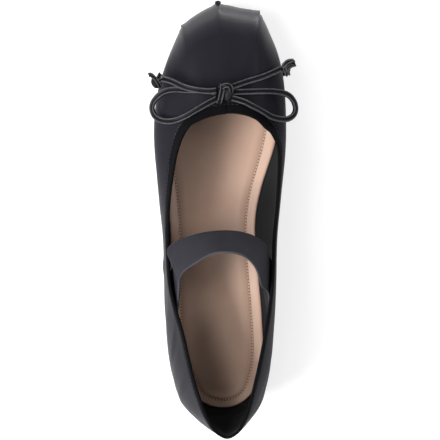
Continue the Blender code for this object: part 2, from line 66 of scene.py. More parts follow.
# Ribs of the last, as in the part: one row each, from the back seam along the outer side, round the
# toe and home. Shares of half BALL_WIDTH across, of UPPER_LENGTH along and of BULGE_HEIGHT up.
Rib = namedtuple(
    "Rib",
    "edge_across edge_along edge_height tuck top_across top_along back_rise throat_rise",
)
RIBS = [
    Rib(0.052, 0.000, 0.80, 0.235, 0.055, 0.009, 1.00, 0.00),
    Rib(-0.222, 0.005, 0.80, 0.235, -0.118, 0.024, 1.00, 0.00),
    Rib(-0.458, 0.027, 0.80, 0.215, -0.230, 0.051, 1.00, 0.00),
    Rib(-0.643, 0.064, 0.80, 0.180, -0.330, 0.086, 0.96, 0.00),
    Rib(-0.774, 0.140, 0.80, 0.165, -0.462, 0.152, 0.85, 0.00),
    Rib(-0.847, 0.254, 0.82, 0.150, -0.612, 0.254, 0.64, 0.00),
    Rib(-0.860, 0.358, 0.82, 0.150, -0.786, 0.355, 0.34, 0.00),
    Rib(-0.876, 0.462, 0.82, 0.165, -0.826, 0.462, 0.09, 0.00),
    Rib(-0.931, 0.550, 0.79, 0.150, -0.802, 0.552, 0.00, 0.00),
    Rib(-0.983, 0.646, 0.75, 0.115, -0.722, 0.644, 0.00, 0.22),
    Rib(-0.993, 0.726, 0.72, 0.092, -0.651, 0.690, 0.00, 0.45),
    Rib(-0.939, 0.794, 0.70, 0.092, -0.583, 0.716, 0.00, 0.62),
    Rib(-0.837, 0.848, 0.68, 0.092, -0.486, 0.739, 0.00, 0.80),
    Rib(-0.719, 0.896, 0.66, 0.092, -0.356, 0.751, 0.00, 0.90),
    Rib(-0.565, 0.944, 0.64, 0.092, -0.233, 0.759, 0.00, 0.97),
    Rib(-0.353, 0.973, 0.61, 0.092, -0.118, 0.764, 0.00, 1.00),
    Rib(-0.021, 0.996, 0.59, 0.092, 0.013, 0.768, 0.00, 1.00),
    Rib(0.301, 0.989, 0.61, 0.092, 0.144, 0.769, 0.00, 1.00),
    Rib(0.586, 0.975, 0.64, 0.092, 0.288, 0.766, 0.00, 1.00),
    Rib(0.771, 0.923, 0.66, 0.092, 0.424, 0.760, 0.00, 0.95),
    Rib(0.894, 0.874, 0.68, 0.092, 0.546, 0.749, 0.00, 0.82),
    Rib(0.967, 0.814, 0.70, 0.092, 0.661, 0.731, 0.00, 0.62),
    Rib(1.001, 0.735, 0.75, 0.105, 0.774, 0.713, 0.00, 0.42),
    Rib(0.988, 0.661, 0.82, 0.150, 0.871, 0.668, 0.00, 0.08),
    Rib(0.915, 0.554, 0.96, 0.350, 0.852, 0.554, 0.00, 0.00),
    Rib(0.860, 0.470, 1.07, 0.410, 0.804, 0.470, 0.09, 0.00),
    Rib(0.847, 0.358, 1.07, 0.363, 0.768, 0.358, 0.30, 0.00),
    Rib(0.829, 0.246, 0.96, 0.280, 0.659, 0.250, 0.64, 0.00),
    Rib(0.782, 0.142, 0.84, 0.188, 0.518, 0.150, 0.87, 0.00),
    Rib(0.669, 0.062, 0.80, 0.160, 0.397, 0.078, 0.97, 0.00),
    Rib(0.523, 0.028, 0.80, 0.205, 0.319, 0.045, 1.00, 0.00),
    Rib(0.309, 0.005, 0.80, 0.230, 0.220, 0.021, 1.00, 0.00),
]
ROWS = len(RIBS)
TABLE = np.array(RIBS)

# Gathered folds at the toe: row, rise as a share of FOLD_RISE and half width in rows; above 1 the
# sharpness draws them in to a crest
Fold = namedtuple("Fold", "row rise width")
FOLDS = [
    Fold(14.0, 0.7, 0.34),
    Fold(16.0, 1.0, 0.30),
    Fold(18.0, 0.8, 0.34),
]
FOLD_SHARPNESS = 1.5

# Height share of the widest line, handles of the wall's curves as shares of their chords, the turn of
# the wall at the topline, and the share of the wall above the widest line over which the folds fade
V_EDGE = 0.35
TOE_HANDLE = 0.27
TOP_HANDLE = 0.42
TOP_CROWN = math.radians(10)
TUCK_HANDLE = 0.35
FOOT_HANDLE = 0.16
RISE_HANDLE = 0.50
FOLD_FADE = 0.45

# Sole profile: where spring, flat and waist begin and end, as shares of UPPER_LENGTH from the back
SPRING_START = 0.80
FLAT_END = 0.63
SEAT_START = 0.28

# Strap sections, front and rear edge: shares of half BALL_WIDTH, UPPER_LENGTH and STRAP_HEIGHT
StrapRow = namedtuple(
    "StrapRow", "front_across front_along front_height rear_across rear_along rear_height"
)
STRAP_ROWS = [
    StrapRow(-0.725, 0.424, 0.658, -0.655, 0.358, 0.745),
    StrapRow(-0.822, 0.446, 0.695, -0.640, 0.388, 0.810),
    StrapRow(-0.755, 0.464, 0.695, -0.570, 0.412, 0.875),
    StrapRow(-0.530, 0.480, 0.695, -0.400, 0.434, 0.930),
    StrapRow(-0.250, 0.491, 0.702, -0.200, 0.455, 0.975),
    StrapRow(0.040, 0.494, 0.704, 0.012, 0.462, 1.000),
    StrapRow(0.293, 0.490, 0.700, 0.248, 0.455, 0.988),
    StrapRow(0.480, 0.479, 0.684, 0.410, 0.434, 0.945),
    StrapRow(0.640, 0.459, 0.665, 0.510, 0.405, 0.885),
    StrapRow(0.690, 0.436, 0.640, 0.575, 0.368, 0.800),
]
StrapEnd = namedtuple("StrapEnd", "front_row front_v rear_row rear_v")
OUTER_ENDS = [StrapEnd(6.00, 0.35, 5.05, 0.62), StrapEnd(6.25, 0.78, 5.40, 0.88)]
INNER_ENDS = [StrapEnd(25.65, 0.62, 26.20, 0.90), StrapEnd(26.30, 0.20, 26.90, 0.50)]

# Cord routes, points chosen one by one, the same as the part's
OUTER_LOOP = [
    (-0.0035, 0.0779, 0.0446), (-0.0114, 0.0787, 0.0433), (-0.0200, 0.0786, 0.0403),
    (-0.0265, 0.0784, 0.0367), (-0.0317, 0.0768, 0.0331), (-0.0359, 0.0735, 0.0306),
    (-0.0386, 0.0694, 0.0296), (-0.0390, 0.0656, 0.0297), (-0.0374, 0.0623, 0.0312),
    (-0.0342, 0.0607, 0.0347), (-0.0296, 0.0607, 0.0390), (-0.0246, 0.0623, 0.0426),
    (-0.0188, 0.0653, 0.0449), (-0.0131, 0.0689, 0.0457), (-0.0081, 0.0720, 0.0459),
    (-0.0030, 0.0746, 0.0460),
]
INNER_LOOP = [
    (0.0053, 0.0782, 0.0450), (0.0100, 0.0781, 0.0449), (0.0144, 0.0781, 0.0445),
    (0.0216, 0.0779, 0.0424), (0.0285, 0.0772, 0.0388), (0.0344, 0.0759, 0.0356),
    (0.0386, 0.0737, 0.0339), (0.0413, 0.0702, 0.0334), (0.0422, 0.0661, 0.0338),
    (0.0409, 0.0629, 0.0350), (0.0375, 0.0611, 0.0370), (0.0332, 0.0614, 0.0395),
    (0.0278, 0.0633, 0.0425), (0.0219, 0.0670, 0.0450), (0.0167, 0.0701, 0.0461),
    (0.0121, 0.0727, 0.0463), (0.0053, 0.0749, 0.0462),
]
OUTER_TAIL = [
    (-0.0035, 0.0794, 0.0481), (-0.0089, 0.0790, 0.0472), (-0.0155, 0.0797, 0.0456),
    (-0.0217, 0.0810, 0.0427), (-0.0281, 0.0833, 0.0380), (-0.0330, 0.0841, 0.0332),
]
INNER_TAIL = [
    (0.0053, 0.0812, 0.0468), (0.0140, 0.0837, 0.0434), (0.0237, 0.0860, 0.0394),
    (0.0338, 0.0894, 0.0339),
]
KNOT_AT = (0.0009, 0.0787, 0.0462)
OUTER_TAIL_KNOT_AT = (-0.0356, 0.0836, 0.0306)
INNER_TAIL_KNOT_AT = (0.0370, 0.0903, 0.0322)

# Camera as the photograph was taken: nearly overhead, a little from the toe and the outer side
CAMERA_TARGET = Vector((0, -1.5 * MM, 20 * MM))
CAMERA_DISTANCE = 0.98
CAMERA_TILT = math.radians(13.5)
CAMERA_LEAN = math.radians(3.0)
CAMERA_LENS = 137.1
CAMERA_SENSOR = 36.0

UP = np.array((0.0, 0.0, 1.0))


def new_object(name, data):
    """Object of some data, linked into the scene."""
    item = bpy.data.objects.new(name, data)
    bpy.context.scene.collection.objects.link(item)
    return item


def make_camera():
    back = Vector((-math.tan(CAMERA_LEAN), math.tan(CAMERA_TILT), 1)).normalized()
    right = Vector((0, 1, 0)).cross(back).normalized()
    data = bpy.data.cameras.new("camera")
    data.lens = CAMERA_LENS
    data.sensor_width = CAMERA_SENSOR
    item = new_object("camera", data)
    turn = Matrix((right, back.cross(right), back)).transposed().to_4x4()
    item.matrix_world = Matrix.Translation(CAMERA_TARGET + back * CAMERA_DISTANCE) @ turn
    bpy.context.scene.camera = item


# Shape of the last, worked out for whole arrays of ribs u and height shares v

# Halvings in the search for a height on the wall, and steps between two given points of a smooth line
HALVINGS = 18
FINE_STEPS = 12


def catmull(a, b, c, d, t):
    """Smooth curve from b to c, steered by a and d."""
    return 0.5 * (2 * b + (c - a) * t + (2 * a - 5 * b + 4 * c - d) * t * t
                  + (3 * b - a - 3 * c + d) * t ** 3)


def bezier(a, b, c, d, t):
    s = 1 - t
    return a * s ** 3 + b * (3 * s * s * t) + c * (3 * s * t * t) + d * t ** 3


def ease(t):
    t = np.clip(t, 0.0, 1.0)
    return t * t * (3 - 2 * t)


def unit(vectors):
    return vectors / np.linalg.norm(vectors, axis=-1, keepdims=True)


def stack(x, y, z):
    return np.stack(np.broadcast_arrays(x, y, z), axis=-1).astype(float)


def rib_at(u):
    """Columns of the rib table between its rows, as a Rib of arrays."""
    u = np.asarray(u, dtype=float)
    first = np.floor(u).astype(int)
    near = [TABLE[(first + k) % ROWS] for k in (-1, 0, 1, 2)]
    return Rib(*np.moveaxis(catmull(*near, (u - first)[..., None]), -1, 0))


def along(share):
    return (share - 0.5) * UPPER_LENGTH


def fold_rise(u):
    """How far the toe folds stand out at rib u."""
    rise = 0.0
    for fold in FOLDS:
        away = np.abs(np.asarray(u) % ROWS - fold.row) / fold.width
        rise = rise + fold.rise * FOLD_RISE * np.maximum(0.0, 1 - away) ** FOLD_SHARPNESS
    return rise


def raw_plan(u):
    rib = rib_at(u)
    return stack(rib.edge_across * BALL_WIDTH / 2, along(rib.edge_along), 0.0)


def plan_normal(u):
    """Unit vector in the floor plane that points out of the shoe at rib u."""
    step = 0.02
    run = raw_plan(u + step) - raw_plan(u - step)
    return unit(stack(-run[..., 1], run[..., 0], 0.0))


def plan_fit():
    """Scale and shift that bring the widest line to the named length and width."""
    u = np.arange(ROWS * 3) / 3
    line = raw_plan(u) + plan_normal(u) * fold_rise(u)[:, None]
    low, high = line.min(axis=0), line.max(axis=0)
    scale = np.array((BALL_WIDTH / (high - low)[0], UPPER_LENGTH / (high - low)[1], 1.0))
    return scale, (low + high) / 2


PLAN_SCALE, PLAN_MIDDLE = plan_fit()


def fitted(point):
    return (point - PLAN_MIDDLE) * PLAN_SCALE


def tread_height(y):
    """Underside of the outsole: toe spring, flat forefoot, waist and level heel seat."""
    share = y / UPPER_LENGTH + 0.5
    spring = np.maximum(0.0, (share - SPRING_START) / (1 - SPRING_START))
    waist = ease((FLAT_END - share) / (FLAT_END - SEAT_START))
    return TOE_SPRING * spring ** 2 + HEEL_HEIGHT * waist


def sole_top(y):
    return tread_height(y) + SOLE_THICKNESS


def outer(u, v):
    """Outer face of the upper: v is 0 at the feather edge, V_EDGE at the widest line, 1 at the top."""
    u, v = np.broadcast_arrays(np.asarray(u, dtype=float), np.asarray(v, dtype=float))
    rib = rib_at(u)
    side = plan_normal(u)
    plan = raw_plan(u)
    edge = fitted(plan)
    edge[..., 2] = rib.edge_height * BULGE_HEIGHT
    foot = fitted(plan - side * (rib.tuck * BALL_WIDTH / 2)[..., None])
    foot[..., 2] = sole_top(foot[..., 1]) + GAP
    rise = (edge - foot)[..., 2:] * UP
    swell = side * np.sum((edge - foot) * side, axis=-1, keepdims=True)
    t = np.clip(v / V_EDGE, 0, 1)[..., None]
    lower = bezier(
        foot, foot + swell * TUCK_HANDLE + rise * FOOT_HANDLE, edge - rise * RISE_HANDLE, edge, t
    )
    top = fitted(stack(rib.top_across * BALL_WIDTH / 2, along(rib.top_along), 0.0))
    top[..., 2] = (QUARTER_HEIGHT + rib.back_rise * (BACK_HEIGHT - QUARTER_HEIGHT)
                   + rib.throat_rise * (THROAT_HEIGHT - QUARTER_HEIGHT))
    reach = edge - top
    drop = -reach[..., 2]
    reach[..., 2] = 0
    run = np.linalg.norm(reach, axis=-1)
    chord = np.hypot(run, drop)[..., None]
    slope = (np.arctan2(drop, run) - TOP_CROWN)[..., None]
    lean = unit(reach) * np.cos(slope) - UP * np.sin(slope)
    s = np.clip((v - V_EDGE) / (1 - V_EDGE), 0, 1)[..., None]
    upper = bezier(edge, edge + UP * chord * TOE_HANDLE, top + lean * chord * TOP_HANDLE, top, s)
    fold = np.where(v < V_EDGE, ease(v / V_EDGE), 1 - ease(s[..., 0] / FOLD_FADE))
    return np.where(v[..., None] < V_EDGE, lower, upper) + side * (fold_rise(u) * fold)[..., None]


def outward(u, v):
    """Unit normal of the outer face."""
    step = 0.01
    around = outer(u + step, v) - outer(u - step, v)
    upward = outer(u, np.minimum(1.0, v + step)) - outer(u, np.maximum(0.0, v - step))
    return unit(np.cross(upward, around))


def wall(u, v, depth=0.0):
    """Point at a depth under the outer face, measured square to it."""
    return outer(u, v) - outward(u, v) * depth


def wall_at_height(u, height, depth):
    """Points of the wall at a depth and at a height above the floor."""
    low = np.zeros_like(u)
    high = np.full_like(u, V_EDGE)
    for _ in range(HALVINGS):
        middle = (low + high) / 2
        under = wall(u, middle, depth)[..., 2] < height
        low = np.where(under, middle, low)
        high = np.where(under, high, middle)
    point = wall(u, low, depth)
    point[..., 2] = height
    return point


def distances(points):
    """Distance of each point, or row of points, from the first, measured along them."""
    steps = np.linalg.norm(np.diff(points, axis=0), axis=-1)
    return np.concatenate((np.zeros((1, *steps.shape[1:])), np.cumsum(steps, axis=0)))


def points_at(want, reach, points):
    """Points at the wanted distances along a line."""
    return np.stack([np.interp(want, reach, points[:, k]) for k in range(3)], axis=1)


def smooth_line(points, count):
    """Evenly spaced points on a smooth open curve through the given ones."""
    points = np.asarray(points, dtype=float)
    ends = np.vstack((2 * points[0] - points[1], points, 2 * points[-1] - points[-2]))
    steps = np.arange(FINE_STEPS)[:, None] / FINE_STEPS
    fine = [catmull(*ends[i:i + 4], steps) for i in range(len(points) - 1)]
    fine = np.vstack(fine + [points[-1:]])
    reach = distances(fine)
    return points_at(np.linspace(0, reach[-1], count), reach, fine)


def gauss(x):
    return np.exp(-x * x)


# Materials


def linear(code):
    """Linear colour of an sRGB hex value."""
    parts = [int(code[k:k + 2], 16) / 255 for k in (1, 3, 5)]
    return (*[c / 12.92 if c < 0.04045 else ((c + 0.055) / 1.055) ** 2.4 for c in parts], 1.0)


def add(tree, kind, inputs=None, **settings):
    """Add a node: settings by name, inputs by name or number, each a value or a socket to link."""
    made = tree.nodes.new(kind)
    for key, value in settings.items():
        setattr(made, key, value)
    for key, value in (inputs or {}).items():
        if isinstance(value, bpy.types.NodeSocket):
            tree.links.new(value, made.inputs[key])
        else:
            made.inputs[key].default_value = value
    return made


def start_material(name, finish):
    """Material with its Principled shader's own sockets set."""
    material = bpy.data.materials.new(name)
    material.use_nodes = True
    shader = material.node_tree.nodes["Principled BSDF"]
    for socket, value in finish.items():
        shader.inputs[socket].default_value = value
    return material, material.node_tree, shader


def cloth_place(tree):
    """Place along and across the cloth in metres."""
    return add(tree, "ShaderNodeUVMap", uv_map="cloth").outputs["UV"]


def object_place(tree):
    return add(tree, "ShaderNodeTexCoord").outputs["Object"]


def marked(tree, name):
    """Value that the mesh holds at each point under a name."""
    return add(tree, "ShaderNodeAttribute", attribute_name=name).outputs["Fac"]


def noise(tree, place, size, detail):
    """Noise with patches of about one size."""
    made = add(tree, "ShaderNodeTexNoise", {"Vector": place, "Scale": 1 / size, "Detail": detail})
    return made.outputs["Fac"]


def cells(tree, place, size):
    """Domes of about one size, side by side."""
    return add(tree, "ShaderNodeTexVoronoi", {"Vector": place, "Scale": 1 / size}).outputs["Distance"]


def bands(tree, place, pitch, direction, waver=None):
    """Wave texture whose bands lie one pitch apart; its own waves run at 20 radians to a unit."""
    inputs = {"Vector": place, "Scale": math.tau / 20 / pitch, **(waver or {})}
    return add(tree, "ShaderNodeTexWave", inputs, bands_direction=direction).outputs["Fac"]


def maths(tree, operation, *values):
    return add(tree, "ShaderNodeMath", dict(enumerate(values)), operation=operation).outputs[0]


def mix(tree, share, low, high):
    """Colour between two by a share from a texture; each is a hex value or a socket."""
    low, high = [linear(end) if isinstance(end, str) else end for end in (low, high)]
    return add(tree, "ShaderNodeMix", {0: share, 6: low, 7: high}, data_type="RGBA").outputs[2]


def dress(tree, shader, colour, height=None, strength=0.0, depth=0.0):
    """Link the shader's colour and, where a height is given, bumps of a strength and depth."""
    tree.links.new(colour, shader.inputs["Base Color"])
    if height is not None:
        bump = add(tree, "ShaderNodeBump", {"Height": height, "Strength": strength, "Distance": depth})
        tree.links.new(bump.outputs["Normal"], shader.inputs["Normal"])


# Specular level of the satin, what it gains over the toe and what it loses on the two sides
SATIN_GLOSS = 0.055
TOE_GLOSS = 0.50
INNER_GLOSS = -0.045
OUTER_GLOSS = -0.025


def satin_material():
    """Polyester satin over a backing: near black with a violet cast and a gloss that changes."""
    material, tree, shader = start_material("black_satin", {
        "Roughness": 0.38, "Specular IOR Level": SATIN_GLOSS,
    })
    gloss = maths(tree, "ADD", marked(tree, "gloss"), SATIN_GLOSS)
    tree.links.new(gloss, shader.inputs["Specular IOR Level"])
    cloth = cloth_place(tree)
    cloud = noise(tree, cloth, 24 * MM, 3.0)
    # Real floats are 0.1 mm apart; they are drawn 0.7 mm apart so that they show
    floats = bands(tree, cloth, 0.7 * MM, "DIAGONAL", {
        "Distortion": 1.2, "Detail": 1.0, "Detail Scale": 2.0,
    })
    weave = maths(tree, "ADD", floats, noise(tree, cloth, 2.2 * MM, 4.0))
    dress(tree, shader, mix(tree, cloud, "#19181e", "#201f25"), weave, 0.34, 0.06 * MM)
    return material


def lining_material():
    """Brushed cotton lining: matt black that takes hardly any light."""
    material, tree, shader = start_material("black_lining", {
        "Roughness": 0.92, "Specular IOR Level": 0.2, "Sheen Weight": 0.04,
    })
    nap = noise(tree, cloth_place(tree), 1.2 * MM, 5.0)
    dress(tree, shader, mix(tree, nap, "#121214", "#1f1f21"), nap, 0.35, 0.10 * MM)
    return material


def binding_material():
    """Grosgrain binding round the opening: neutral black with fine cross ribs."""
    material, tree, shader = start_material("grosgrain_binding", {
        "Roughness": 0.85, "Specular IOR Level": 0.05,
    })
    # Real ribs are 0.5 mm apart; they are drawn 0.9 mm apart so that they show
    ribs = bands(tree, cloth_place(tree), 0.9 * MM, "X")
    dress(tree, shader, mix(tree, ribs, "#08080a", "#0f0f11"), ribs, 0.4, 0.10 * MM)
    return material


def elastic_material():
    """Woven elastic: covered rubber threads run along it; both satin selvedges carry a painted highlight.
    """
    material, tree, shader = start_material("woven_elastic", {
        "Roughness": 0.66, "Specular IOR Level": 0.03, "Sheen Weight": 0.005,
        "Sheen Roughness": 0.45, "Sheen Tint": linear("#b4b4c6"),
    })
    cloth = cloth_place(tree)
    # Covered threads lie about 0.8 mm apart, and the picks across them 0.6 mm
    weave = maths(tree, "MULTIPLY", bands(tree, cloth, 0.8 * MM, "Y"), bands(tree, cloth, 0.6 * MM, "X"))
    tone = maths(tree, "MULTIPLY_ADD", weave, 0.35, noise(tree, cloth, 9 * MM, 3.0))
    body = mix(tree, tone, "#27272b", "#2f2f34")
    # The lighter selvedge colour is partly the satin edge's own and partly a painted highlight
    dress(tree, shader, mix(tree, marked(tree, "selvedge"), body, "#47464c"), weave, 0.35, 0.12 * MM)
    return material


def insole_material():
    """Finished sheepskin over foam: rosy tan, fine grain, low gloss, painted shade in the sunken seam."""
    material, tree, shader = start_material("insole_leather", {
        "Roughness": 0.46, "Specular IOR Level": 0.32, "Coat Weight": 0.05, "Coat Roughness": 0.35,
    })
    place = object_place(tree)
    body = mix(tree, noise(tree, place, 22 * MM, 4.0), "#b08d79", "#c1a28f")
    # Grain of about 0.9 mm, with finer pores in it
    grain = maths(tree, "ADD", cells(tree, place, 0.9 * MM), noise(tree, place, 0.7 * MM, 3.0))
    # The seam's groove is mixed darker: painted shade
    dress(tree, shader, mix(tree, marked(tree, "seam_shade"), body, "#957764"), grain, 0.20, 0.10 * MM)
    return material


def cord_material():
    """Satin-covered cord, pressed flat: raised edges with a painted highlight, and a dark valley between
    them.
    """
    material, tree, shader = start_material("satin_cord", {
        "Roughness": 0.40, "Specular IOR Level": 0.09,
    })
    cloth = cloth_place(tree)
    twist = bands(tree, cloth, 0.8 * MM, "DIAGONAL", {"Distortion": 0.6})
    raised = mix(tree, noise(tree, cloth, 1.3 * MM, 2.0), "#242428", "#66666c")
    # Raised edges are mixed lighter than the near black valley: a painted highlight
    dress(tree, shader, mix(tree, marked(tree, "ridge"), "#0c0c0e", raised), twist, 0.30, 0.10 * MM)
    return material


def smooth_material(name, dark, light, roughness):
    """Thread, or painted shade in needle holes and a fold: no grain, a slow change between two tones."""
    material, tree, shader = start_material(name, {"Roughness": roughness, "Specular IOR Level": 0.4})
    dress(tree, shader, mix(tree, noise(tree, object_place(tree), 1.5 * MM, 2.0), dark, light))
    return material


def rubber_material(name, dark, light, roughness):
    """Moulded thermoplastic rubber: dull black with the fine stipple of a blasted mould."""
    material, tree, shader = start_material(name, {"Roughness": roughness, "Specular IOR Level": 0.4})
    place = object_place(tree)
    colour = mix(tree, noise(tree, place, 15 * MM, 4.0), dark, light)
    # Stipple grains of about 0.8 mm
    dress(tree, shader, colour, cells(tree, place, 0.8 * MM), 0.3, 0.12 * MM)
    return material


def floor_material():
    """Matt white table, lit a little from below, as under a product photograph."""
    material, tree, shader = start_material("lit_table", {
        "Roughness": 0.9, "Specular IOR Level": 0.1, "Emission Color": linear("#ffffff"),
        "Emission Strength": TABLE_GLOW,
    })
    dress(tree, shader, mix(tree, noise(tree, object_place(tree), 300 * MM, 2.0), "#bababa", "#bebebe"))
    return material


# Meshes


def make_piece(name, points, faces, materials, uv=None, slots=None, attributes=None):
    """Smooth-shaded object from arrays; uv is per point, slots gives each face's material."""
    mesh = bpy.data.meshes.new(name)
    mesh.from_pydata([tuple(point) for point in points], [], faces)
    for material in materials:
        mesh.materials.append(material)
    if slots is not None:
        mesh.polygons.foreach_set("material_index", slots)
    if uv is not None:
        layer = mesh.uv_layers.new(name="cloth")
        corner_points = np.empty(len(mesh.loops), dtype=int)
        mesh.loops.foreach_get("vertex_index", corner_points)
        layer.uv.foreach_set("vector", np.asarray(uv)[corner_points].ravel())
    for key, values in (attributes or {}).items():
        mesh.attributes.new(key, "FLOAT", "POINT").data.foreach_set("value", np.ravel(values))
    mesh.shade_smooth()
    mesh.update()
    return new_object(name, mesh)


def grid_faces(rows, columns, closed=False):
    """Quads between rings of points; where it is closed, the last ring meets the first."""
    faces = []
    for i in range(rows if closed else rows - 1):
        below = (i + 1) % rows
        for j in range(columns):
            k = (j + 1) % columns
            faces.append((i * columns + j, i * columns + k, below * columns + k, below * columns + j))
    return faces


def tube_faces(rows, columns):
    """Quads between rings of points, with a cap on the first ring and the last."""
    first = tuple(range(columns))
    last = tuple(reversed(range((rows - 1) * columns, rows * columns)))
    return grid_faces(rows, columns) + [first, last]


def face_outwards(item):
    bm = bmesh.new()
    bm.from_mesh(item.data)
    bmesh.ops.recalc_face_normals(bm, faces=bm.faces)
    bm.to_mesh(item.data)
    bm.free()
    return item


def join(name, parts):
    """One object from several: their meshes are joined and the first keeps the name."""
    with bpy.context.temp_override(active_object=parts[0], selected_editable_objects=parts):
        bpy.ops.object.join()
    parts[0].name = name
    parts[0].data.name = name
    return parts[0]


# Lumpy ball: its mesh, and the rise and number of its lobes round the middle and ripples up it
BALL_SEGMENTS = 32
BALL_RINGS = 20
LOBE_RISE = 0.05
LOBES = 3
RIPPLE_RISE = 0.03
RIPPLES = 7


def make_ball(name, centre, radii, material, tone):
    """Lumpy ellipsoid with one share of the cord's painted highlight all over."""
    bm = bmesh.new()
    bmesh.ops.create_uvsphere(bm, u_segments=BALL_SEGMENTS, v_segments=BALL_RINGS, radius=1.0)
    for vert in bm.verts:
        lobes = LOBE_RISE * math.sin(LOBES * math.atan2(vert.co.y, vert.co.x))
        swell = 1 + lobes + RIPPLE_RISE * math.sin(RIPPLES * vert.co.z)
        vert.co = Vector(centre) + Vector([c * swell * r for c, r in zip(vert.co, radii)])
    mesh = bpy.data.meshes.new(name)
    bm.to_mesh(mesh)
    bm.free()
    mesh.materials.append(material)
    mesh.uv_layers.new(name="cloth")
    mesh.attributes.new("ridge", "FLOAT", "POINT").data.foreach_set(
        "value", np.full(len(mesh.vertices), tone))
    mesh.shade_smooth()
    return new_object(name, mesh)


# Upper

# Ribs of the mesh, how much more closely they lie between two rows at the toe, with soft ends, and the
# steps to a row in which that is worked out
UPPER_RIBS = 760
RIB_SAMPLES = 64
TOE_CROWDING = 2.0
CROWDED_ROWS = (12.5, 19.5)
CROWDED_SOFT = 1.5
# Rungs up the outer face, crowded at the topline, then round the rim and down the lining
LOWER_STEPS = 20
VAMP_STEPS = 56
VAMP_CROWDING = 1.5
RIM_STEPS = 6
LINING_STEPS = 34
# Rows between which each side is dull and the toe glossy, how softly they end, and the heights above
# the feather edge between which the toe's gloss fades
INNER_ROWS = (19.0, 31.6)
OUTER_ROWS = (3.5, 12.0)
GLOSSY_ROWS = (12.2, 20.2)
GLOSS_SOFT = 2.2
GLOSS_REACH = (18 * MM, 34 * MM)
# Stiff counter at the heel: thickness added inside, its spread in rows and the share where it fades in
HEEL_PAD = 1.9 * MM
HEEL_PAD_ROWS = 2.4
HEEL_PAD_FADE = 0.4

# Width of the binding: narrow round the heel, wide round the throat, with the rows between them
BINDING_NARROW = 2.2 * MM
BINDING_WIDE = 4.6 * MM
BINDING_GROWS = (7.0, 10.0)
BINDING_SHRINKS = (21.5, 24.5)
BINDING_RISE = 0.22 * MM
BINDING_EDGE = 0.4 * MM
BINDING_GROOVE = 0.28 * MM
GROOVE_WIDTH = 0.45 * MM
# How far the binding's colour stops short of its edge, and where its stitches lie off that edge
BINDING_SHORT = 0.1 * MM
SEAM_OFF = 0.05 * MM
SEAM_LIFT = 0.1 * MM

# Toe pleats: row at the feather edge, how it drifts by the time it fades, its reach up the vamp, the
# height of its lip and the side that it laps to
Pleat = namedtuple("Pleat", "row drift reach lip side")
PLEATS = [
    Pleat(14.00, 0.10, 24 * MM, 1.40 * MM, -1),
    Pleat(15.95, 0.16, 24 * MM, 0.80 * MM, 1),
    Pleat(18.02, -0.10, 26 * MM, 1.50 * MM, 1),
]
# Slope behind a pleat's lip, the step in front of it, and the trough beyond: place, width and share
LIP_SLOPE = 3.2 * MM
LIP_STEP = 0.35 * MM
TROUGH_OFF = 0.9 * MM
TROUGH_WIDTH = 0.8 * MM
TROUGH_SHARE = 0.8

# Soft creases: from a row and height above the feather edge to another, with rise and half width
Crease = namedtuple("Crease", "row height end_row end_height rise width")
CREASES = [
    Crease(2.6, 14 * MM, 3.9, 36 * MM, 0.35 * MM, 3.0 * MM),
    Crease(3.3, 9 * MM, 4.6, 30 * MM, -0.30 * MM, 2.6 * MM),
    Crease(4.1, 20 * MM, 5.2, 34 * MM, 0.28 * MM, 2.8 * MM),
    Crease(4.7, 8 * MM, 5.8, 24 * MM, -0.25 * MM, 3.0 * MM),
    Crease(6.2, 17 * MM, 6.5, 25 * MM, 0.70 * MM, 3.6 * MM),
    Crease(7.4, 6 * MM, 8.9, 20 * MM, -0.22 * MM, 3.2 * MM),
    Crease(24.2, 12 * MM, 25.6, 24 * MM, 0.25 * MM, 3.0 * MM),
    Crease(27.4, 10 * MM, 28.8, 32 * MM, -0.28 * MM, 3.0 * MM),
    Crease(28.6, 8 * MM, 29.7, 34 * MM, 0.26 * MM, 2.6 * MM),
]
# Tab over the binding at the middle of the throat, and how far apart the rows are taken to lie there
TAB_ROW = 15.95
TAB_HALF = 1.9 * MM
TAB_DEPTH = 6.2 * MM
TAB_SOFT = 0.7 * MM
TAB_RISE = 0.45 * MM
THROAT_ROW = 5.0 * MM
# Fine gathers above the sole at the toe, whose pitch wavers along them
GATHER_ROWS = (12.0, 20.0)
GATHER_SOFT = 1.5
GATHER_PITCH = 3.2 * MM
GATHER_WAVER = 1.4
GATHER_DRIFT = 7 * MM
GATHER_RISE = 0.16 * MM
GATHER_REACH = 7.0 * MM
# Broad waves of the cloth: spans of two crossed waves along and up, and how they fade to the topline
UNDULATION = 0.12 * MM
WAVES_ALONG = (11 * MM, 17 * MM)
WAVES_UP = (9 * MM, 13 * MM)
WAVES_FADE = 8 * MM


def rib_shares():
    """Ribs of the mesh, crowded round the toe, where the folds are."""
    rows = np.linspace(0, ROWS, RIB_SAMPLES * ROWS + 1)
    crowd = 1 + TOE_CROWDING * between(rows, *CROWDED_ROWS, CROWDED_SOFT)
    reach = np.concatenate(([0.0], np.cumsum((crowd[1:] + crowd[:-1]) / 2)))
    return np.interp(np.arange(UPPER_RIBS) * reach[-1] / UPPER_RIBS, reach, rows)


def heel_pad(u):
    """Extra thickness of the wall at the back of the heel."""
    return HEEL_PAD * gauss(np.minimum(u, ROWS - u) / HEEL_PAD_ROWS)


def outer_heights():
    lower = np.arange(LOWER_STEPS) * V_EDGE / LOWER_STEPS
    shares = 1 - (1 - np.arange(VAMP_STEPS + 1) / VAMP_STEPS) ** VAMP_CROWDING
    return np.concatenate((lower, V_EDGE + (1 - V_EDGE) * shares))


def between(value, low, high, soft):
    """1 inside a span and 0 outside it, with soft ends."""
    return ease((value - low) / soft) * ease((high - value) / soft)


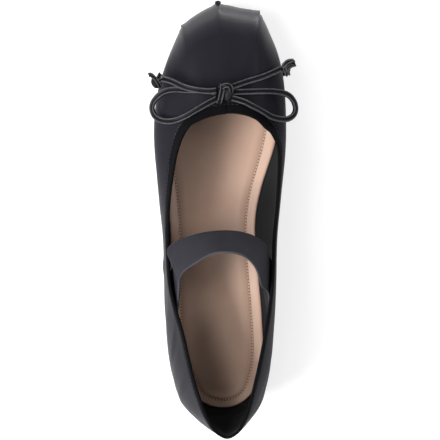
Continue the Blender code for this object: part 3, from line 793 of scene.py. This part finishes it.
def crease_relief(crease, place, above, girth):
    """Soft ridge or trough along a straight run, fading from half its length beyond each end."""
    start = np.array((np.interp(crease.row, *girth), crease.height))
    end = np.array((np.interp(crease.end_row, *girth), crease.end_height))
    run = end - start
    reach = np.linalg.norm(run)
    run = run / reach
    off_x = place - start[0]
    off_y = above - start[1]
    share = (off_x * run[0] + off_y * run[1]) / reach
    away = off_x * run[1] - off_y * run[0]
    return crease.rise * gauss(away / crease.width) * between(share, -0.5, 1.5, 1.0)


def upper_relief(u, place, above, below):
    """Height of binding, pleats, gathers and creases over the plain last."""
    girth = (np.append(u[0], ROWS), np.append(place[0], 2 * place[0, -1] - place[0, -2]))
    width = BINDING_NARROW + (BINDING_WIDE - BINDING_NARROW) * (
        ease((u - BINDING_GROWS[0]) / np.ptp(BINDING_GROWS))
        * ease((BINDING_SHRINKS[1] - u) / np.ptp(BINDING_SHRINKS)))
    relief = BINDING_RISE * ease((width - below) / BINDING_EDGE)
    relief = relief - BINDING_GROOVE * gauss((below - width) / GROOVE_WIDTH)
    for pleat in PLEATS:
        line = np.interp(pleat.row + pleat.drift * above / pleat.reach, *girth)
        off = (place - line) * pleat.side
        lip = np.exp(-np.abs(off) / np.where(off < 0, LIP_SLOPE, LIP_STEP))
        trough = np.where(off > 0, gauss((off - TROUGH_OFF) / TROUGH_WIDTH), 0)
        relief = relief + (lip - TROUGH_SHARE * trough) * pleat.lip * (1 - ease(above / pleat.reach))
    gather = np.sin(math.tau * place / GATHER_PITCH + GATHER_WAVER * np.sin(place / GATHER_DRIFT))
    relief = relief + GATHER_RISE * gather * between(u, *GATHER_ROWS, GATHER_SOFT) * (
        1 - ease(above / GATHER_REACH))
    for crease in CREASES:
        relief = relief + crease_relief(crease, place, above, girth)
    broad = (np.sin(place / WAVES_ALONG[0] + above / WAVES_UP[0])
             * np.sin(place / WAVES_ALONG[1] - above / WAVES_UP[1]))
    relief = relief + UNDULATION * broad * ease(below / WAVES_FADE)
    # Ribs of the throat run nearer together than at the feather edge, so the tab is measured at the top
    top_off = np.abs(u - TAB_ROW) * THROAT_ROW
    tab = ease((TAB_HALF - top_off) / TAB_SOFT + 0.5) * ease((TAB_DEPTH - below) / TAB_SOFT)
    return relief + TAB_RISE * tab, width


def make_upper(satin, lining, binding):
    """Closed shell: satin outside, binding over the topline and lining inside."""
    v = outer_heights()[:, None]
    ribs = rib_shares()
    u = np.broadcast_to(ribs, (len(v), UPPER_RIBS))
    face = outer(u, v)
    normal = outward(u, v)
    above = distances(face)
    below = above[-1] - above
    place = np.broadcast_to(distances(face[LOWER_STEPS]), u.shape)
    relief, width = upper_relief(u, place, above, below)
    skin = face + normal * relief[..., None]
    rise = unit(face[-1] - face[-2])
    half = UPPER_WALL / 2 + relief[-1][:, None] / 2
    middle = skin[-1] - normal[-1] * half
    angles = np.linspace(0, math.pi, RIM_STEPS + 2)[1:-1]
    rim = [middle + normal[-1] * half * math.cos(a) + rise * half * math.sin(a) for a in angles]
    inner_v = np.linspace(1, 0, LINING_STEPS + 1)[:, None]
    inner_u = np.broadcast_to(ribs, (len(inner_v), UPPER_RIBS))
    padding = heel_pad(inner_u) * ease((1 - inner_v) / HEEL_PAD_FADE)
    inside = wall(inner_u, inner_v, (UPPER_WALL + padding)[..., None])
    points = np.concatenate((skin, np.array(rim), inside))
    heights = np.concatenate((above, above[-1] + angles[:, None] * half[:, 0],
                              above[-1] + UPPER_WALL * 2 + distances(inside)))
    uv = np.stack((np.broadcast_to(place[0], heights.shape), heights), axis=-1)
    # Slots: 0 satin, 1 lining, 2 binding
    slots = np.ones((len(points), UPPER_RIBS), dtype=int)
    slots[:len(v) - 1] = np.where(below[1:] < width[1:] - BINDING_SHORT, 2, 0)
    slots[len(v) - 1:len(v) + RIM_STEPS] = 2
    low_toe = 1 - ease((heights - GLOSS_REACH[0]) / np.ptp(GLOSS_REACH))
    gloss = (TOE_GLOSS * low_toe * between(ribs, *GLOSSY_ROWS, GLOSS_SOFT)
             + INNER_GLOSS * between(ribs, *INNER_ROWS, GLOSS_SOFT)
             + OUTER_GLOSS * between(ribs, *OUTER_ROWS, GLOSS_SOFT))
    faces = grid_faces(len(points), UPPER_RIBS, closed=True)
    item = make_piece("upper_satin", points.reshape(-1, 3), faces, [satin, lining, binding],
                      uv=uv.reshape(-1, 2), slots=slots.ravel(), attributes={"gloss": gloss})
    rungs = np.argmin(np.abs(below - width - SEAM_OFF), axis=0)
    columns = np.arange(UPPER_RIBS)
    return face_outwards(item), skin[rungs, columns] + normal[rungs, columns] * SEAM_LIFT


# Puckered end of the middle toe fold and the painted shade in its mouth: row, height share, how far out,
# radii
Nub = namedtuple("Nub", "row share out radii")
NUB = Nub(16.0, 0.390, 0.5 * MM, (1.7 * MM, 1.4 * MM, 1.8 * MM))
MOUTH = Nub(16.03, 0.410, 1.0 * MM, (0.65 * MM, 0.7 * MM, 1.1 * MM))


def make_nub(satin, shade):
    """Gathered end of the middle toe fold, with a dark ball in it as painted shade in the gathers' mouth.
    """
    parts = []
    for nub, material in ((NUB, satin), (MOUTH, shade)):
        centre = outer(nub.row, nub.share) + outward(nub.row, nub.share) * nub.out
        parts.append(make_ball("toe_nub_satin", centre, nub.radii, material, 0.0))
    return join("toe_nub_satin", parts)


# Insole

INSOLE_RIBS = 384
INSOLE_RUNGS = 26
# Hollow of the cup inside the seam, the ribs over which it grows from each end, and how full it is
INSOLE_CUP = 1.6 * MM
CUP_RIBS = 24
CUP_FULLNESS = 0.8
# Ribs to each side that smooth the rim's line, and the radius of the heel's end
SMOOTHING = 5
HEEL_RADIUS = 21 * MM
# Width of the rim outside the seam, at the heel's end and along the sides, with the rows between
RIM_AT_HEEL = 4.0 * MM
RIM_AT_SIDES = 6.3 * MM
RIM_GROWS = (1.5, 5.5)
# Height of the top over its flat in mm, at shares of the rim's width in from the edge; the seam is at
# the whole width, and the painted shade of its groove spreads by a share
SEAM_SHARE = 1.0
SEAM_SPREAD = 0.09
INSOLE_PROFILE = [
    (0.0, 1.40), (0.05, 1.70), (0.13, 1.82), (0.27, 1.65), (0.45, 1.25), (0.63, 0.82), (0.80, 0.40),
    (0.92, 0.10), (SEAM_SHARE, -0.05), (1.08, 0.04), (1.20, 0.16), (1.36, 0.22), (1.64, 0.18),
]


def ring_inward(ring):
    """Unit vectors in plan that point into a closed ring."""
    run = np.roll(ring, -1, axis=0) - np.roll(ring, 1, axis=0)
    return unit(stack(run[:, 1], -run[:, 0], 0.0))


def smooth_ring(ring):
    """Closed ring softened by a moving average, taken three times."""
    span = range(-SMOOTHING, SMOOTHING + 1)
    for _ in range(3):
        ring = sum(np.roll(ring, k, axis=0) for k in span) / len(span)
    return ring


def round_heel(ring):
    """Draw a ring in to a half circle at the heel's end."""
    centre = np.array((ring[0, 0], ring[:, 1].min() + HEEL_RADIUS))
    off = ring[:, :2] - centre
    far = np.linalg.norm(off, axis=1)
    drawn = centre + off * np.minimum(1, HEEL_RADIUS / far)[:, None]
    ring[:, :2] = np.where(off[:, 1:] < 0, drawn, ring[:, :2])


def make_insole(leather):
    """Padded insole: a rim that climbs to the lining outside the seam, and a shallow cup inside it."""
    count = INSOLE_RIBS
    u = np.arange(count) * ROWS / count
    depth = UPPER_WALL + GAP + heel_pad(u)
    lower = wall(u, np.zeros_like(u), depth[:, None])
    base = sole_top(lower[:, 1]) + GAP
    under = lower.copy()
    under[:, 2] = base
    brim = wall_at_height(u, base + INSOLE_THICKNESS + INSOLE_PROFILE[0][1] * MM, depth[:, None])
    for ring in (under, lower, brim):
        round_heel(ring)
    soft = smooth_ring(brim)
    inward = ring_inward(soft)
    rows_from_heel = np.minimum(u, ROWS - u)
    rim = RIM_AT_HEEL + (RIM_AT_SIDES - RIM_AT_HEEL) * ease(
        (rows_from_heel - RIM_GROWS[0]) / np.ptp(RIM_GROWS))
    rings = [under, lower, brim]
    # Share of painted shade in the seam's groove, ring by ring
    seam_shade = [np.zeros(count)] * 3
    for share, height in INSOLE_PROFILE[1:]:
        near_seam = min(SEAM_SHARE, share)
        ring = brim * (1 - near_seam) + soft * near_seam + inward * (rim * share)[:, None]
        ring[:, 2] = sole_top(ring[:, 1]) + GAP + INSOLE_THICKNESS + height * MM
        rings.append(ring)
        seam_shade.append(np.full(count, gauss((share - SEAM_SHARE) / SEAM_SPREAD)))
        if share == SEAM_SHARE:
            seam = ring
    points = np.concatenate(rings)
    faces = grid_faces(len(rings), count)
    last = (len(rings) - 1) * count
    seam_shades = np.concatenate(seam_shade)
    edge_height = INSOLE_PROFILE[-1][1] * MM
    filling, new_faces = fill_ring(rings[-1], last, len(points), edge_height, INSOLE_CUP)
    bottom, bottom_faces = fill_ring(under, 0, len(points) + len(filling), -INSOLE_THICKNESS, 0.0)
    points = np.concatenate((points, filling, bottom))
    faces += new_faces + bottom_faces
    seam_shades = np.concatenate((seam_shades, np.zeros(len(filling) + len(bottom))))
    item = make_piece("insole_pad", points, faces, [leather], attributes={"seam_shade": seam_shades})
    return face_outwards(item), seam


def fill_ring(ring, first, start, lift, cup):
    """Points and faces of rungs across a ring, from its outer side to its inner side."""
    count = len(ring)
    points = []
    faces = []
    shares = np.arange(1, INSOLE_RUNGS) / INSOLE_RUNGS
    rows = []
    for i in range(1, count // 2):
        left, right = ring[i], ring[count - i]
        row = left + (right - left) * shares[:, None]
        ends = min(1.0, min(i, count // 2 - i) / CUP_RIBS)
        hollow = cup * ends * np.sin(math.pi * shares) ** CUP_FULLNESS
        row[:, 2] = sole_top(row[:, 1]) + GAP + INSOLE_THICKNESS + lift - hollow
        base = start + len(points)
        rows.append([first + i, *range(base, base + len(row)), first + count - i])
        points.extend(row)
    for row, end in ((rows[0], first), (rows[-1], first + count // 2)):
        faces += [(end, a, b) for a, b in zip(row, row[1:])]
    for above, below in zip(rows, rows[1:]):
        for k in range(INSOLE_RUNGS):
            faces.append((above[k], above[k + 1], below[k + 1], below[k]))
    return np.array(points), faces


# Strap

STRAP_COUNT = 200
STRAP_ACROSS = 24
# Width of the selvedge, the bead along it, how its edge rounds off, and the body's share of the thickness
SELVEDGE = 0.8 * MM
BEAD_RISE = 0.14 * MM
BEAD_WIDTH = 0.45 * MM
EDGE_ROUND = 0.7 * MM
BODY_SHARE = 0.86


def strap_edges():
    """Front and rear edge points of the strap, as in the part."""
    depth = UPPER_WALL + 2 * GAP + STRAP_THICKNESS / 2
    fronts = [wall(end.front_row, end.front_v, depth) for end in OUTER_ENDS]
    rears = [wall(end.rear_row, end.rear_v, depth) for end in OUTER_ENDS]
    for row in STRAP_ROWS:
        fronts.append((row.front_across * BALL_WIDTH / 2, along(row.front_along),
                       row.front_height * STRAP_HEIGHT))
        rears.append((row.rear_across * BALL_WIDTH / 2, along(row.rear_along),
                      row.rear_height * STRAP_HEIGHT))
    fronts += [wall(end.front_row, end.front_v, depth) for end in INNER_ENDS]
    rears += [wall(end.rear_row, end.rear_v, depth) for end in INNER_ENDS]
    return smooth_line(fronts, STRAP_COUNT), smooth_line(rears, STRAP_COUNT)


def make_strap(elastic):
    """Elastic band swept between its two edges, with a rounded selvedge on each."""
    fronts, rears = strap_edges()
    travel = np.gradient(fronts, axis=0) + np.gradient(rears, axis=0)
    out = unit(np.cross(rears - fronts, travel))[:, None]
    shares = (1 - np.cos(np.linspace(0, math.pi, STRAP_ACROSS))) / 2
    width = np.linalg.norm(rears - fronts, axis=1)
    from_edge = np.minimum(shares, 1 - shares) * width[:, None]
    bead = BEAD_RISE * gauss((from_edge - SELVEDGE) / BEAD_WIDTH)
    swell = STRAP_THICKNESS / 2 * BODY_SHARE * np.sqrt(np.clip(from_edge / EDGE_ROUND, 0, 1)) + bead
    swell[:, 0] = swell[:, -1] = 0.0
    middle = fronts[:, None] + (rears - fronts)[:, None] * shares[:, None]

    def round_back(top, back):
        return np.concatenate((top, back[:, -2:0:-1]), axis=1)

    rings = round_back(middle + out * swell[..., None], middle - out * swell[..., None])
    count, sides = rings.shape[:2]
    across = round_back(shares * width[:, None], shares * width[:, None])
    reach = distances((fronts + rears) / 2)[:, None]
    uv = np.stack(np.broadcast_arrays(reach, across), axis=-1)
    # Where the selvedge colour goes: the satin edge, lighter partly as a painted highlight
    selvedge = 1 - ease(round_back(from_edge, from_edge) / SELVEDGE)
    item = make_piece("strap_elastic", rings.reshape(-1, 3), tube_faces(count, sides), [elastic],
                      uv=uv.reshape(-1, 2), attributes={"selvedge": selvedge})
    return face_outwards(item)


# Bow

# Section of the flattened cord, across and up: two raised edges with a valley between them
CORD_SECTION = np.array([
    (1.62, -0.35), (1.72, 0.20), (1.62, 0.80), (1.36, 1.14), (1.08, 0.98), (0.55, 0.52),
    (0.0, 0.40), (-0.55, 0.52), (-1.08, 0.98), (-1.36, 1.14), (-1.62, 0.80), (-1.72, 0.20),
    (-1.62, -0.35), (-1.20, -0.95), (-0.45, -1.25), (0.45, -1.25), (1.20, -0.95),
]) * MM
# Share of painted highlight at each point of the cord's section, most on the raised edges
CORD_PAINTED_HIGHLIGHT = np.array([
    0.0, 0.0, 0.45, 1.00, 0.55, 0.0, 0.0, 0.0, 0.55, 1.00, 0.45, 0.0, 0.0, 0.0, 0.0, 0.0, 0.0,
])
# Knot of the bow: core, wrap (radii, tilt, turn) and arch, as offsets from the knot's middle, the
# share of painted highlight on the core, the scales of the wrap's and the arch's section and how far
# the arch leans out
CORE_OFFSET = np.array((1.7, -1.0, 0.5)) * MM
CORE_RADII = (3.0 * MM, 3.9 * MM, 2.5 * MM)
CORE_PAINTED_HIGHLIGHT = 0.25
WRAP_OFFSET = np.array((-2.0, -1.3, 0.2)) * MM
WRAP_SHAPE = ((4.7 * MM, 2.9 * MM), 0.10, -0.20)
WRAP_SCALE = 0.85
BOW_ARCH = np.array([
    (-2.4, 1.2, -0.6), (-1.2, 2.6, 1.6), (0.6, 3.7, 2.8), (2.4, 3.7, 3.0), (3.5, 2.3, 2.5),
    (3.7, 0.4, 1.6), (2.9, -1.0, -0.2),
]) * MM
ARCH_SCALE = 0.80
ARCH_LEAN = 0.4
# Knots of the tails: shift from the part's place, radii of the body, turns of the wraps, runs of points
# of the strands that stick out and their section's scale
TailKnot = namedtuple("TailKnot", "shift body turns tips swell")
OUTER_TAIL_KNOT = TailKnot(
    np.array((-0.9, -1.7, 0.9)) * MM, (3.3 * MM, 3.5 * MM, 2.6 * MM), (0.55,),
    [np.array([(4.2, 2.2, 2.4), (2.4, 1.5, 2.2), (0.6, 0.6, 1.0)]) * MM,
     np.array([(-0.6, 1.6, 1.0), (-2.0, 3.4, 1.3), (-3.3, 4.4, 0.9), (-4.4, 4.2, 0.4)]) * MM,
     np.array([(0.8, 1.6, 0.8), (1.3, 3.0, 1.1), (1.7, 4.0, 0.8), (2.3, 4.7, 0.3)]) * MM], 0.74)
INNER_TAIL_KNOT = TailKnot(
    np.array((-0.2, -1.6, 0.4)) * MM, (2.6 * MM, 3.4 * MM, 2.3 * MM), (-0.15, 0.40),
    [np.array([(-3.6, 0.3, 1.5), (-2.2, 0.4, 1.0), (-0.6, 0.2, 0.4)]) * MM,
     np.array([(-0.6, 0.2, 1.4), (0.6, 1.6, 2.0), (2.2, 2.9, 1.9), (4.9, 3.7, 1.0)]) * MM,
     np.array([(-1.2, 1.2, 0.8), (-0.4, 2.9, 1.4), (1.4, 4.3, 1.3), (3.9, 4.4, 0.8)]) * MM], 1.12)
# Core of a tail's knot as a share of its body, tilts of the wraps and the scale of their section
TAIL_CORE_SHARE = 0.95
TAIL_WRAP_TILTS = (0.25, -0.25)
TAIL_WRAP_SCALE = 0.62
# Points along each kind of strand
LOOP_POINTS = 130
TAIL_POINTS = 60
WRAP_POINTS = 48
ARCH_POINTS = 60
TIP_POINTS = 16
# Upper side of a cord: passes that smooth the wall's normals along it, and how far they turn upright
UPS_PASSES = 12
UPS_LIFT = 0.35


def make_strand(name, path, ups, scale, material, closed=False):
    """Flattened cord along a path; ups points to its raised side and scale sizes its section."""
    section = CORD_SECTION * scale
    count, sides = len(path), len(section)
    if closed:
        run = unit(np.roll(path, -1, axis=0) - np.roll(path, 1, axis=0))
        faces = grid_faces(count, sides, closed=True)
    else:
        run = unit(np.gradient(path, axis=0))
        faces = tube_faces(count, sides)
    ups = unit(ups - run * np.sum(ups * run, axis=1, keepdims=True))
    across = np.cross(run, ups)
    rings = path[:, None] + across[:, None] * section[:, :1] + ups[:, None] * section[:, 1:]
    uv = np.stack(np.broadcast_arrays(distances(path)[:, None], distances(section)), axis=-1)
    item = make_piece(name, rings.reshape(-1, 3), faces, [material], uv=uv.reshape(-1, 2),
                      attributes={"ridge": np.tile(CORD_PAINTED_HIGHLIGHT, count)})
    return face_outwards(item)


def surface_ups(vamp, path):
    """Normals of the upper under a path, smoothed along it."""
    ups = np.array([vamp.find_nearest(Vector(point))[1] for point in path])
    for _ in range(UPS_PASSES):
        ups[1:-1] = (ups[:-2] + ups[1:-1] + ups[2:]) / 3
    return unit(ups + UPS_LIFT * UP)


def make_cord(name, route, count, vamp, material):
    path = smooth_line(route, count)
    return make_strand(name, path, surface_ups(vamp, path), 1.0, material), path


def ring_path(centre, radii, tilt, turn):
    """Points of an ellipse in the YZ plane, tilted about Y and turned about Z."""
    angles = np.linspace(0.0, math.tau, WRAP_POINTS, endpoint=False)
    flat = stack(0.0, np.cos(angles) * radii[0], np.sin(angles) * radii[1])
    spin = Matrix.Rotation(turn, 3, "Z") @ Matrix.Rotation(tilt, 3, "Y")
    return flat @ np.array(spin).T + centre


def make_bow_knot(material):
    """Centre knot: a strand wrapped down over a dark core and one arched across its top."""
    centre = np.array(KNOT_AT)
    core = make_ball("bow_core", centre + CORE_OFFSET, CORE_RADII, material, CORE_PAINTED_HIGHLIGHT)
    wrap = ring_path(centre + WRAP_OFFSET, *WRAP_SHAPE)
    out = unit(wrap - centre - WRAP_OFFSET)
    over = make_strand("bow_wrap", wrap, out, WRAP_SCALE, material, closed=True)
    path = smooth_line(centre + BOW_ARCH, ARCH_POINTS)
    arch = make_strand("bow_arch", path, UP + ARCH_LEAN * unit(path - centre), ARCH_SCALE, material)
    return join("bow_knot_cord", [core, over, arch])


def make_tail_knot(name, place, shape, material):
    """Overhand knot in the end of a tail: a core, the wraps over it and the strands that stick out."""
    centre = np.asarray(place) + shape.shift
    core_radii = [TAIL_CORE_SHARE * radius for radius in shape.body]
    parts = [make_ball(name, centre, core_radii, material, 0.0)]
    for turn, tilt in zip(shape.turns, TAIL_WRAP_TILTS):
        path = ring_path(centre, shape.body[1:], tilt, turn)
        parts.append(make_strand(f"{name}_wrap", path, unit(path - centre), TAIL_WRAP_SCALE, material,
                                 closed=True))
    for tip in shape.tips:
        path = smooth_line(centre + tip, TIP_POINTS)
        parts.append(make_strand(f"{name}_tip", path, np.tile(UP, (TIP_POINTS, 1)), shape.swell,
                                 material))
    return join(name, parts)


# Stitches

# Pitch of the insole's seam, heights of its thread and holes over the leather, and the steps of its line
INSOLE_PITCH = 1.9 * MM
THREAD_LIFT = 0.16 * MM
HOLE_LIFT = 0.06 * MM
SEAM_STEP = 0.5 * MM


def ring_from(ring, start):
    """The same closed ring in small even steps, begun a distance along it."""
    closed = np.vstack((ring, ring[:1]))
    reach = distances(closed)
    steps = np.linspace(0, reach[-1], int(reach[-1] / SEAM_STEP), endpoint=False)
    return points_at((start + steps) % reach[-1], reach, closed)


def stitch_tree():
    """Geometry Nodes tree: one small rounded stitch at each step along a curve."""
    tree = bpy.data.node_groups.new("stitch_row", "GeometryNodeTree")
    tree.interface.new_socket("Geometry", in_out="OUTPUT", socket_type="NodeSocketGeometry")
    for name, kind in (("Geometry", "Geometry"), ("Pitch", "Float"), ("Stitch Size", "Vector"),
                       ("Wander", "Float"), ("Seed", "Int"), ("Material", "Material")):
        tree.interface.new_socket(name, in_out="INPUT", socket_type=f"NodeSocket{kind}")
    start = add(tree, "NodeGroupInput").outputs
    row = add(tree, "GeometryNodeCurveToPoints", {"Curve": start["Geometry"], "Length": start["Pitch"]},
              mode="LENGTH")
    ball = add(tree, "GeometryNodeMeshUVSphere", {"Segments": 8, "Rings": 6, "Radius": 0.5})
    stitch = add(tree, "GeometryNodeTransform", {
        "Geometry": ball.outputs["Mesh"], "Scale": start["Stitch Size"],
    })
    back = maths(tree, "MULTIPLY", start["Wander"], -1.0)
    wander = add(tree, "FunctionNodeRandomValue", {2: back, 3: start["Wander"], "Seed": start["Seed"]},
                 data_type="FLOAT")
    swing = add(tree, "ShaderNodeCombineXYZ", {"X": wander.outputs[1]})
    turned = add(tree, "FunctionNodeRotateRotation", {
        "Rotation": row.outputs["Rotation"], "Rotate By": swing.outputs[0],
    }, rotation_space="LOCAL")
    made = add(tree, "GeometryNodeInstanceOnPoints", {
        "Points": row.outputs["Points"], "Instance": stitch.outputs["Geometry"],
        "Rotation": turned.outputs[0],
    }).outputs["Instances"]
    for step, more in (("RealizeInstances", {}), ("SetShadeSmooth", {}),
                       ("SetMaterial", {"Material": start["Material"]})):
        made = add(tree, f"GeometryNode{step}", {"Geometry": made, **more}).outputs["Geometry"]
    add(tree, "NodeGroupOutput", {"Geometry": made})
    return tree


def make_stitches(name, tree, line, values):
    """Row of stitches along a closed line of points, as one plain mesh."""
    curve = bpy.data.curves.new(f"{name}_line", "CURVE")
    curve.dimensions = "3D"
    spline = curve.splines.new("POLY")
    spline.points.add(len(line) - 1)
    for point, place in zip(spline.points, line):
        point.co = (*place, 1.0)
    spline.use_cyclic_u = True
    holder = new_object(f"{name}_line", curve)
    modifier = holder.modifiers.new("stitches", "NODES")
    modifier.node_group = tree
    for socket in tree.interface.items_tree:
        if socket.in_out == "INPUT" and socket.name in values:
            modifier[socket.identifier] = values[socket.name]
    evaluated = holder.evaluated_get(bpy.context.evaluated_depsgraph_get())
    mesh = bpy.data.meshes.new_from_object(evaluated)
    mesh.name = name
    bpy.data.objects.remove(holder, do_unlink=True)
    return new_object(name, mesh)


# Floor and light

TABLE_GLOW = 0.66
TABLE_REACH = 12.0
# Light of the room at its horizon and overhead, and the rises of a ray between which it changes
HORIZON_LIGHT = 0.50
ZENITH_LIGHT = 0.26
HORIZON_BAND = (0.04, 0.30)

# Soft boxes: name, place and power in watts; all are as wide and each faces the shoe
BOX_WIDTH = 0.38
LIGHTS = [
    ("key_outer_rear", (-0.833, -0.388, 0.771), 13.0),
    ("outer_side", (-0.919, 0.0, 0.771), 6.0),
    ("outer_high", (-0.639, 0.298, 0.971), 4.0),
    ("outer_top", (-0.450, 0.0, 1.113), 1.8),
    ("toe_inner_low", (0.600, 1.030, 0.110), 6.0),
    ("toe_low", (0.0, 1.190, 0.100), 4.0),
    ("toe_outer_low", (-0.600, 1.030, 0.110), 1.0),
    ("toe_high", (0.0, 0.919, 0.771), 0.3),
    ("inner_fill", (0.919, 0.200, 0.771), 3.0),
]


def make_floor(material):
    reach = TABLE_REACH
    corners = [(-reach, -reach, 0), (reach, -reach, 0), (reach, reach, 0), (-reach, reach, 0)]
    floor = make_piece("floor", corners, [(0, 1, 2, 3)], [material])


def make_light(name, place, power):
    data = bpy.data.lights.new(name, "AREA")
    data.shape = "SQUARE"
    data.size = BOX_WIDTH
    data.energy = power
    item = new_object(name, data)
    item.location = place
    item.rotation_mode = "QUATERNION"
    item.rotation_quaternion = (CAMERA_TARGET - Vector(place)).to_track_quat("-Z", "Y")


def make_studio():
    """Room that is paler at the horizon, and soft boxes mostly at the outer side and the toe."""
    world = bpy.data.worlds.new("studio")
    world.use_nodes = True
    tree = world.node_tree
    way = add(tree, "ShaderNodeTexCoord").outputs["Generated"]
    rise = add(tree, "ShaderNodeSeparateXYZ", {"Vector": way}).outputs["Z"]
    level = add(tree, "ShaderNodeMapRange", {
        "Value": rise, "From Min": HORIZON_BAND[0], "From Max": HORIZON_BAND[1],
        "To Min": HORIZON_LIGHT, "To Max": ZENITH_LIGHT,
    }, interpolation_type="SMOOTHSTEP")
    tree.links.new(level.outputs["Result"], tree.nodes["Background"].inputs["Strength"])
    tree.nodes["Background"].inputs["Color"].default_value = linear("#f7f8fb")
    bpy.context.scene.world = world
    bpy.context.scene.view_settings.view_transform = "Standard"
    for name, place, power in LIGHTS:
        make_light(name, place, power)


def main():
    make_camera()
    satin = satin_material()
    cord = cord_material()
    upper, binding_seam = make_upper(satin, lining_material(), binding_material())
    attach(upper, "root")
    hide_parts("upper")
    vamp = BVHTree.FromPolygons(
        [v.co.copy() for v in upper.data.vertices], [tuple(p.vertices) for p in upper.data.polygons])

    nub = make_nub(satin, smooth_material("fold_shade", "#050505", "#0a0a0a", 0.95))
    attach(nub, "root")

    knot = make_bow_knot(cord)
    outer_knot = make_tail_knot("tail_knot_outer_cord", OUTER_TAIL_KNOT_AT, OUTER_TAIL_KNOT, cord)
    inner_knot = make_tail_knot("tail_knot_inner_cord", INNER_TAIL_KNOT_AT, INNER_TAIL_KNOT, cord)
    knots = [(knot, "bow_knot"), (outer_knot, "tail_knot_outer"), (inner_knot, "tail_knot_inner")]
    for piece, node in knots:
        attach(piece, "root")
        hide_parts(node)
    cords = [
        ("bow_loop_outer", OUTER_LOOP, LOOP_POINTS, "object", [knot]),
        ("bow_loop_inner", INNER_LOOP, LOOP_POINTS, "object", []),
        ("bow_tail_outer", OUTER_TAIL, TAIL_POINTS, "knot", [outer_knot]),
        ("bow_tail_inner", INNER_TAIL, TAIL_POINTS, "knot", [inner_knot]),
    ]
    for node, route, count, far_end, with_pieces in cords:
        piece, path = make_cord(f"{node}_cord", route, count, vamp, cord)
        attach(piece, "root")
        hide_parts(node)

    insole, insole_seam = make_insole(insole_material())
    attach(insole, "root")
    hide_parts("insole")
    strap = make_strap(elastic_material())
    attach(strap, "root")
    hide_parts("strap")

    tree = stitch_tree()
    tan_thread = smooth_material("tan_thread", "#d0b09b", "#e6c8b4", 0.6)
    # Needle holes are darker dots on the leather: painted shade in the holes
    needle_hole_shade = smooth_material("needle_hole_shade", "#7a5f50", "#8a6f5f", 0.9)
    black_thread = smooth_material("black_thread", "#1a1a1c", "#2c2c2f", 0.5)
    stitch_rows = [
        ("insole_stitches", ring_from(insole_seam, 0.0) + UP * THREAD_LIFT, "insole", {
            "Pitch": INSOLE_PITCH, "Stitch Size": (0.75 * MM, 0.6 * MM, 1.2 * MM), "Wander": 0.05,
            "Seed": 3, "Material": tan_thread}),
        ("insole_holes", ring_from(insole_seam, INSOLE_PITCH / 2) + UP * HOLE_LIFT, "insole", {
            "Pitch": INSOLE_PITCH, "Stitch Size": (0.75 * MM, 0.65 * MM, 0.6 * MM), "Wander": 0.0,
            "Seed": 3, "Material": needle_hole_shade}),
        ("binding_stitches", binding_seam, "satin", {
            "Pitch": 2.4 * MM, "Stitch Size": (0.34 * MM, 0.34 * MM, 1.6 * MM), "Wander": 0.06,
            "Seed": 5, "Material": black_thread}),
    ]
    for name, line, slot, values in stitch_rows:
        piece = make_stitches(name, tree, line, values)
        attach(piece, "root")

    outsole_rubber = rubber_material("outsole_rubber", "#191919", "#222222", 0.72)
    heel_rubber = rubber_material("heel_rubber", "#151515", "#1d1d1d", 0.66)
    for node, rubber in (("outsole", outsole_rubber), ("heel", heel_rubber)):
        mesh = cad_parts[node].data
        mesh.materials.clear()
        mesh.materials.append(rubber)

    make_floor(floor_material())
    make_studio()


main()
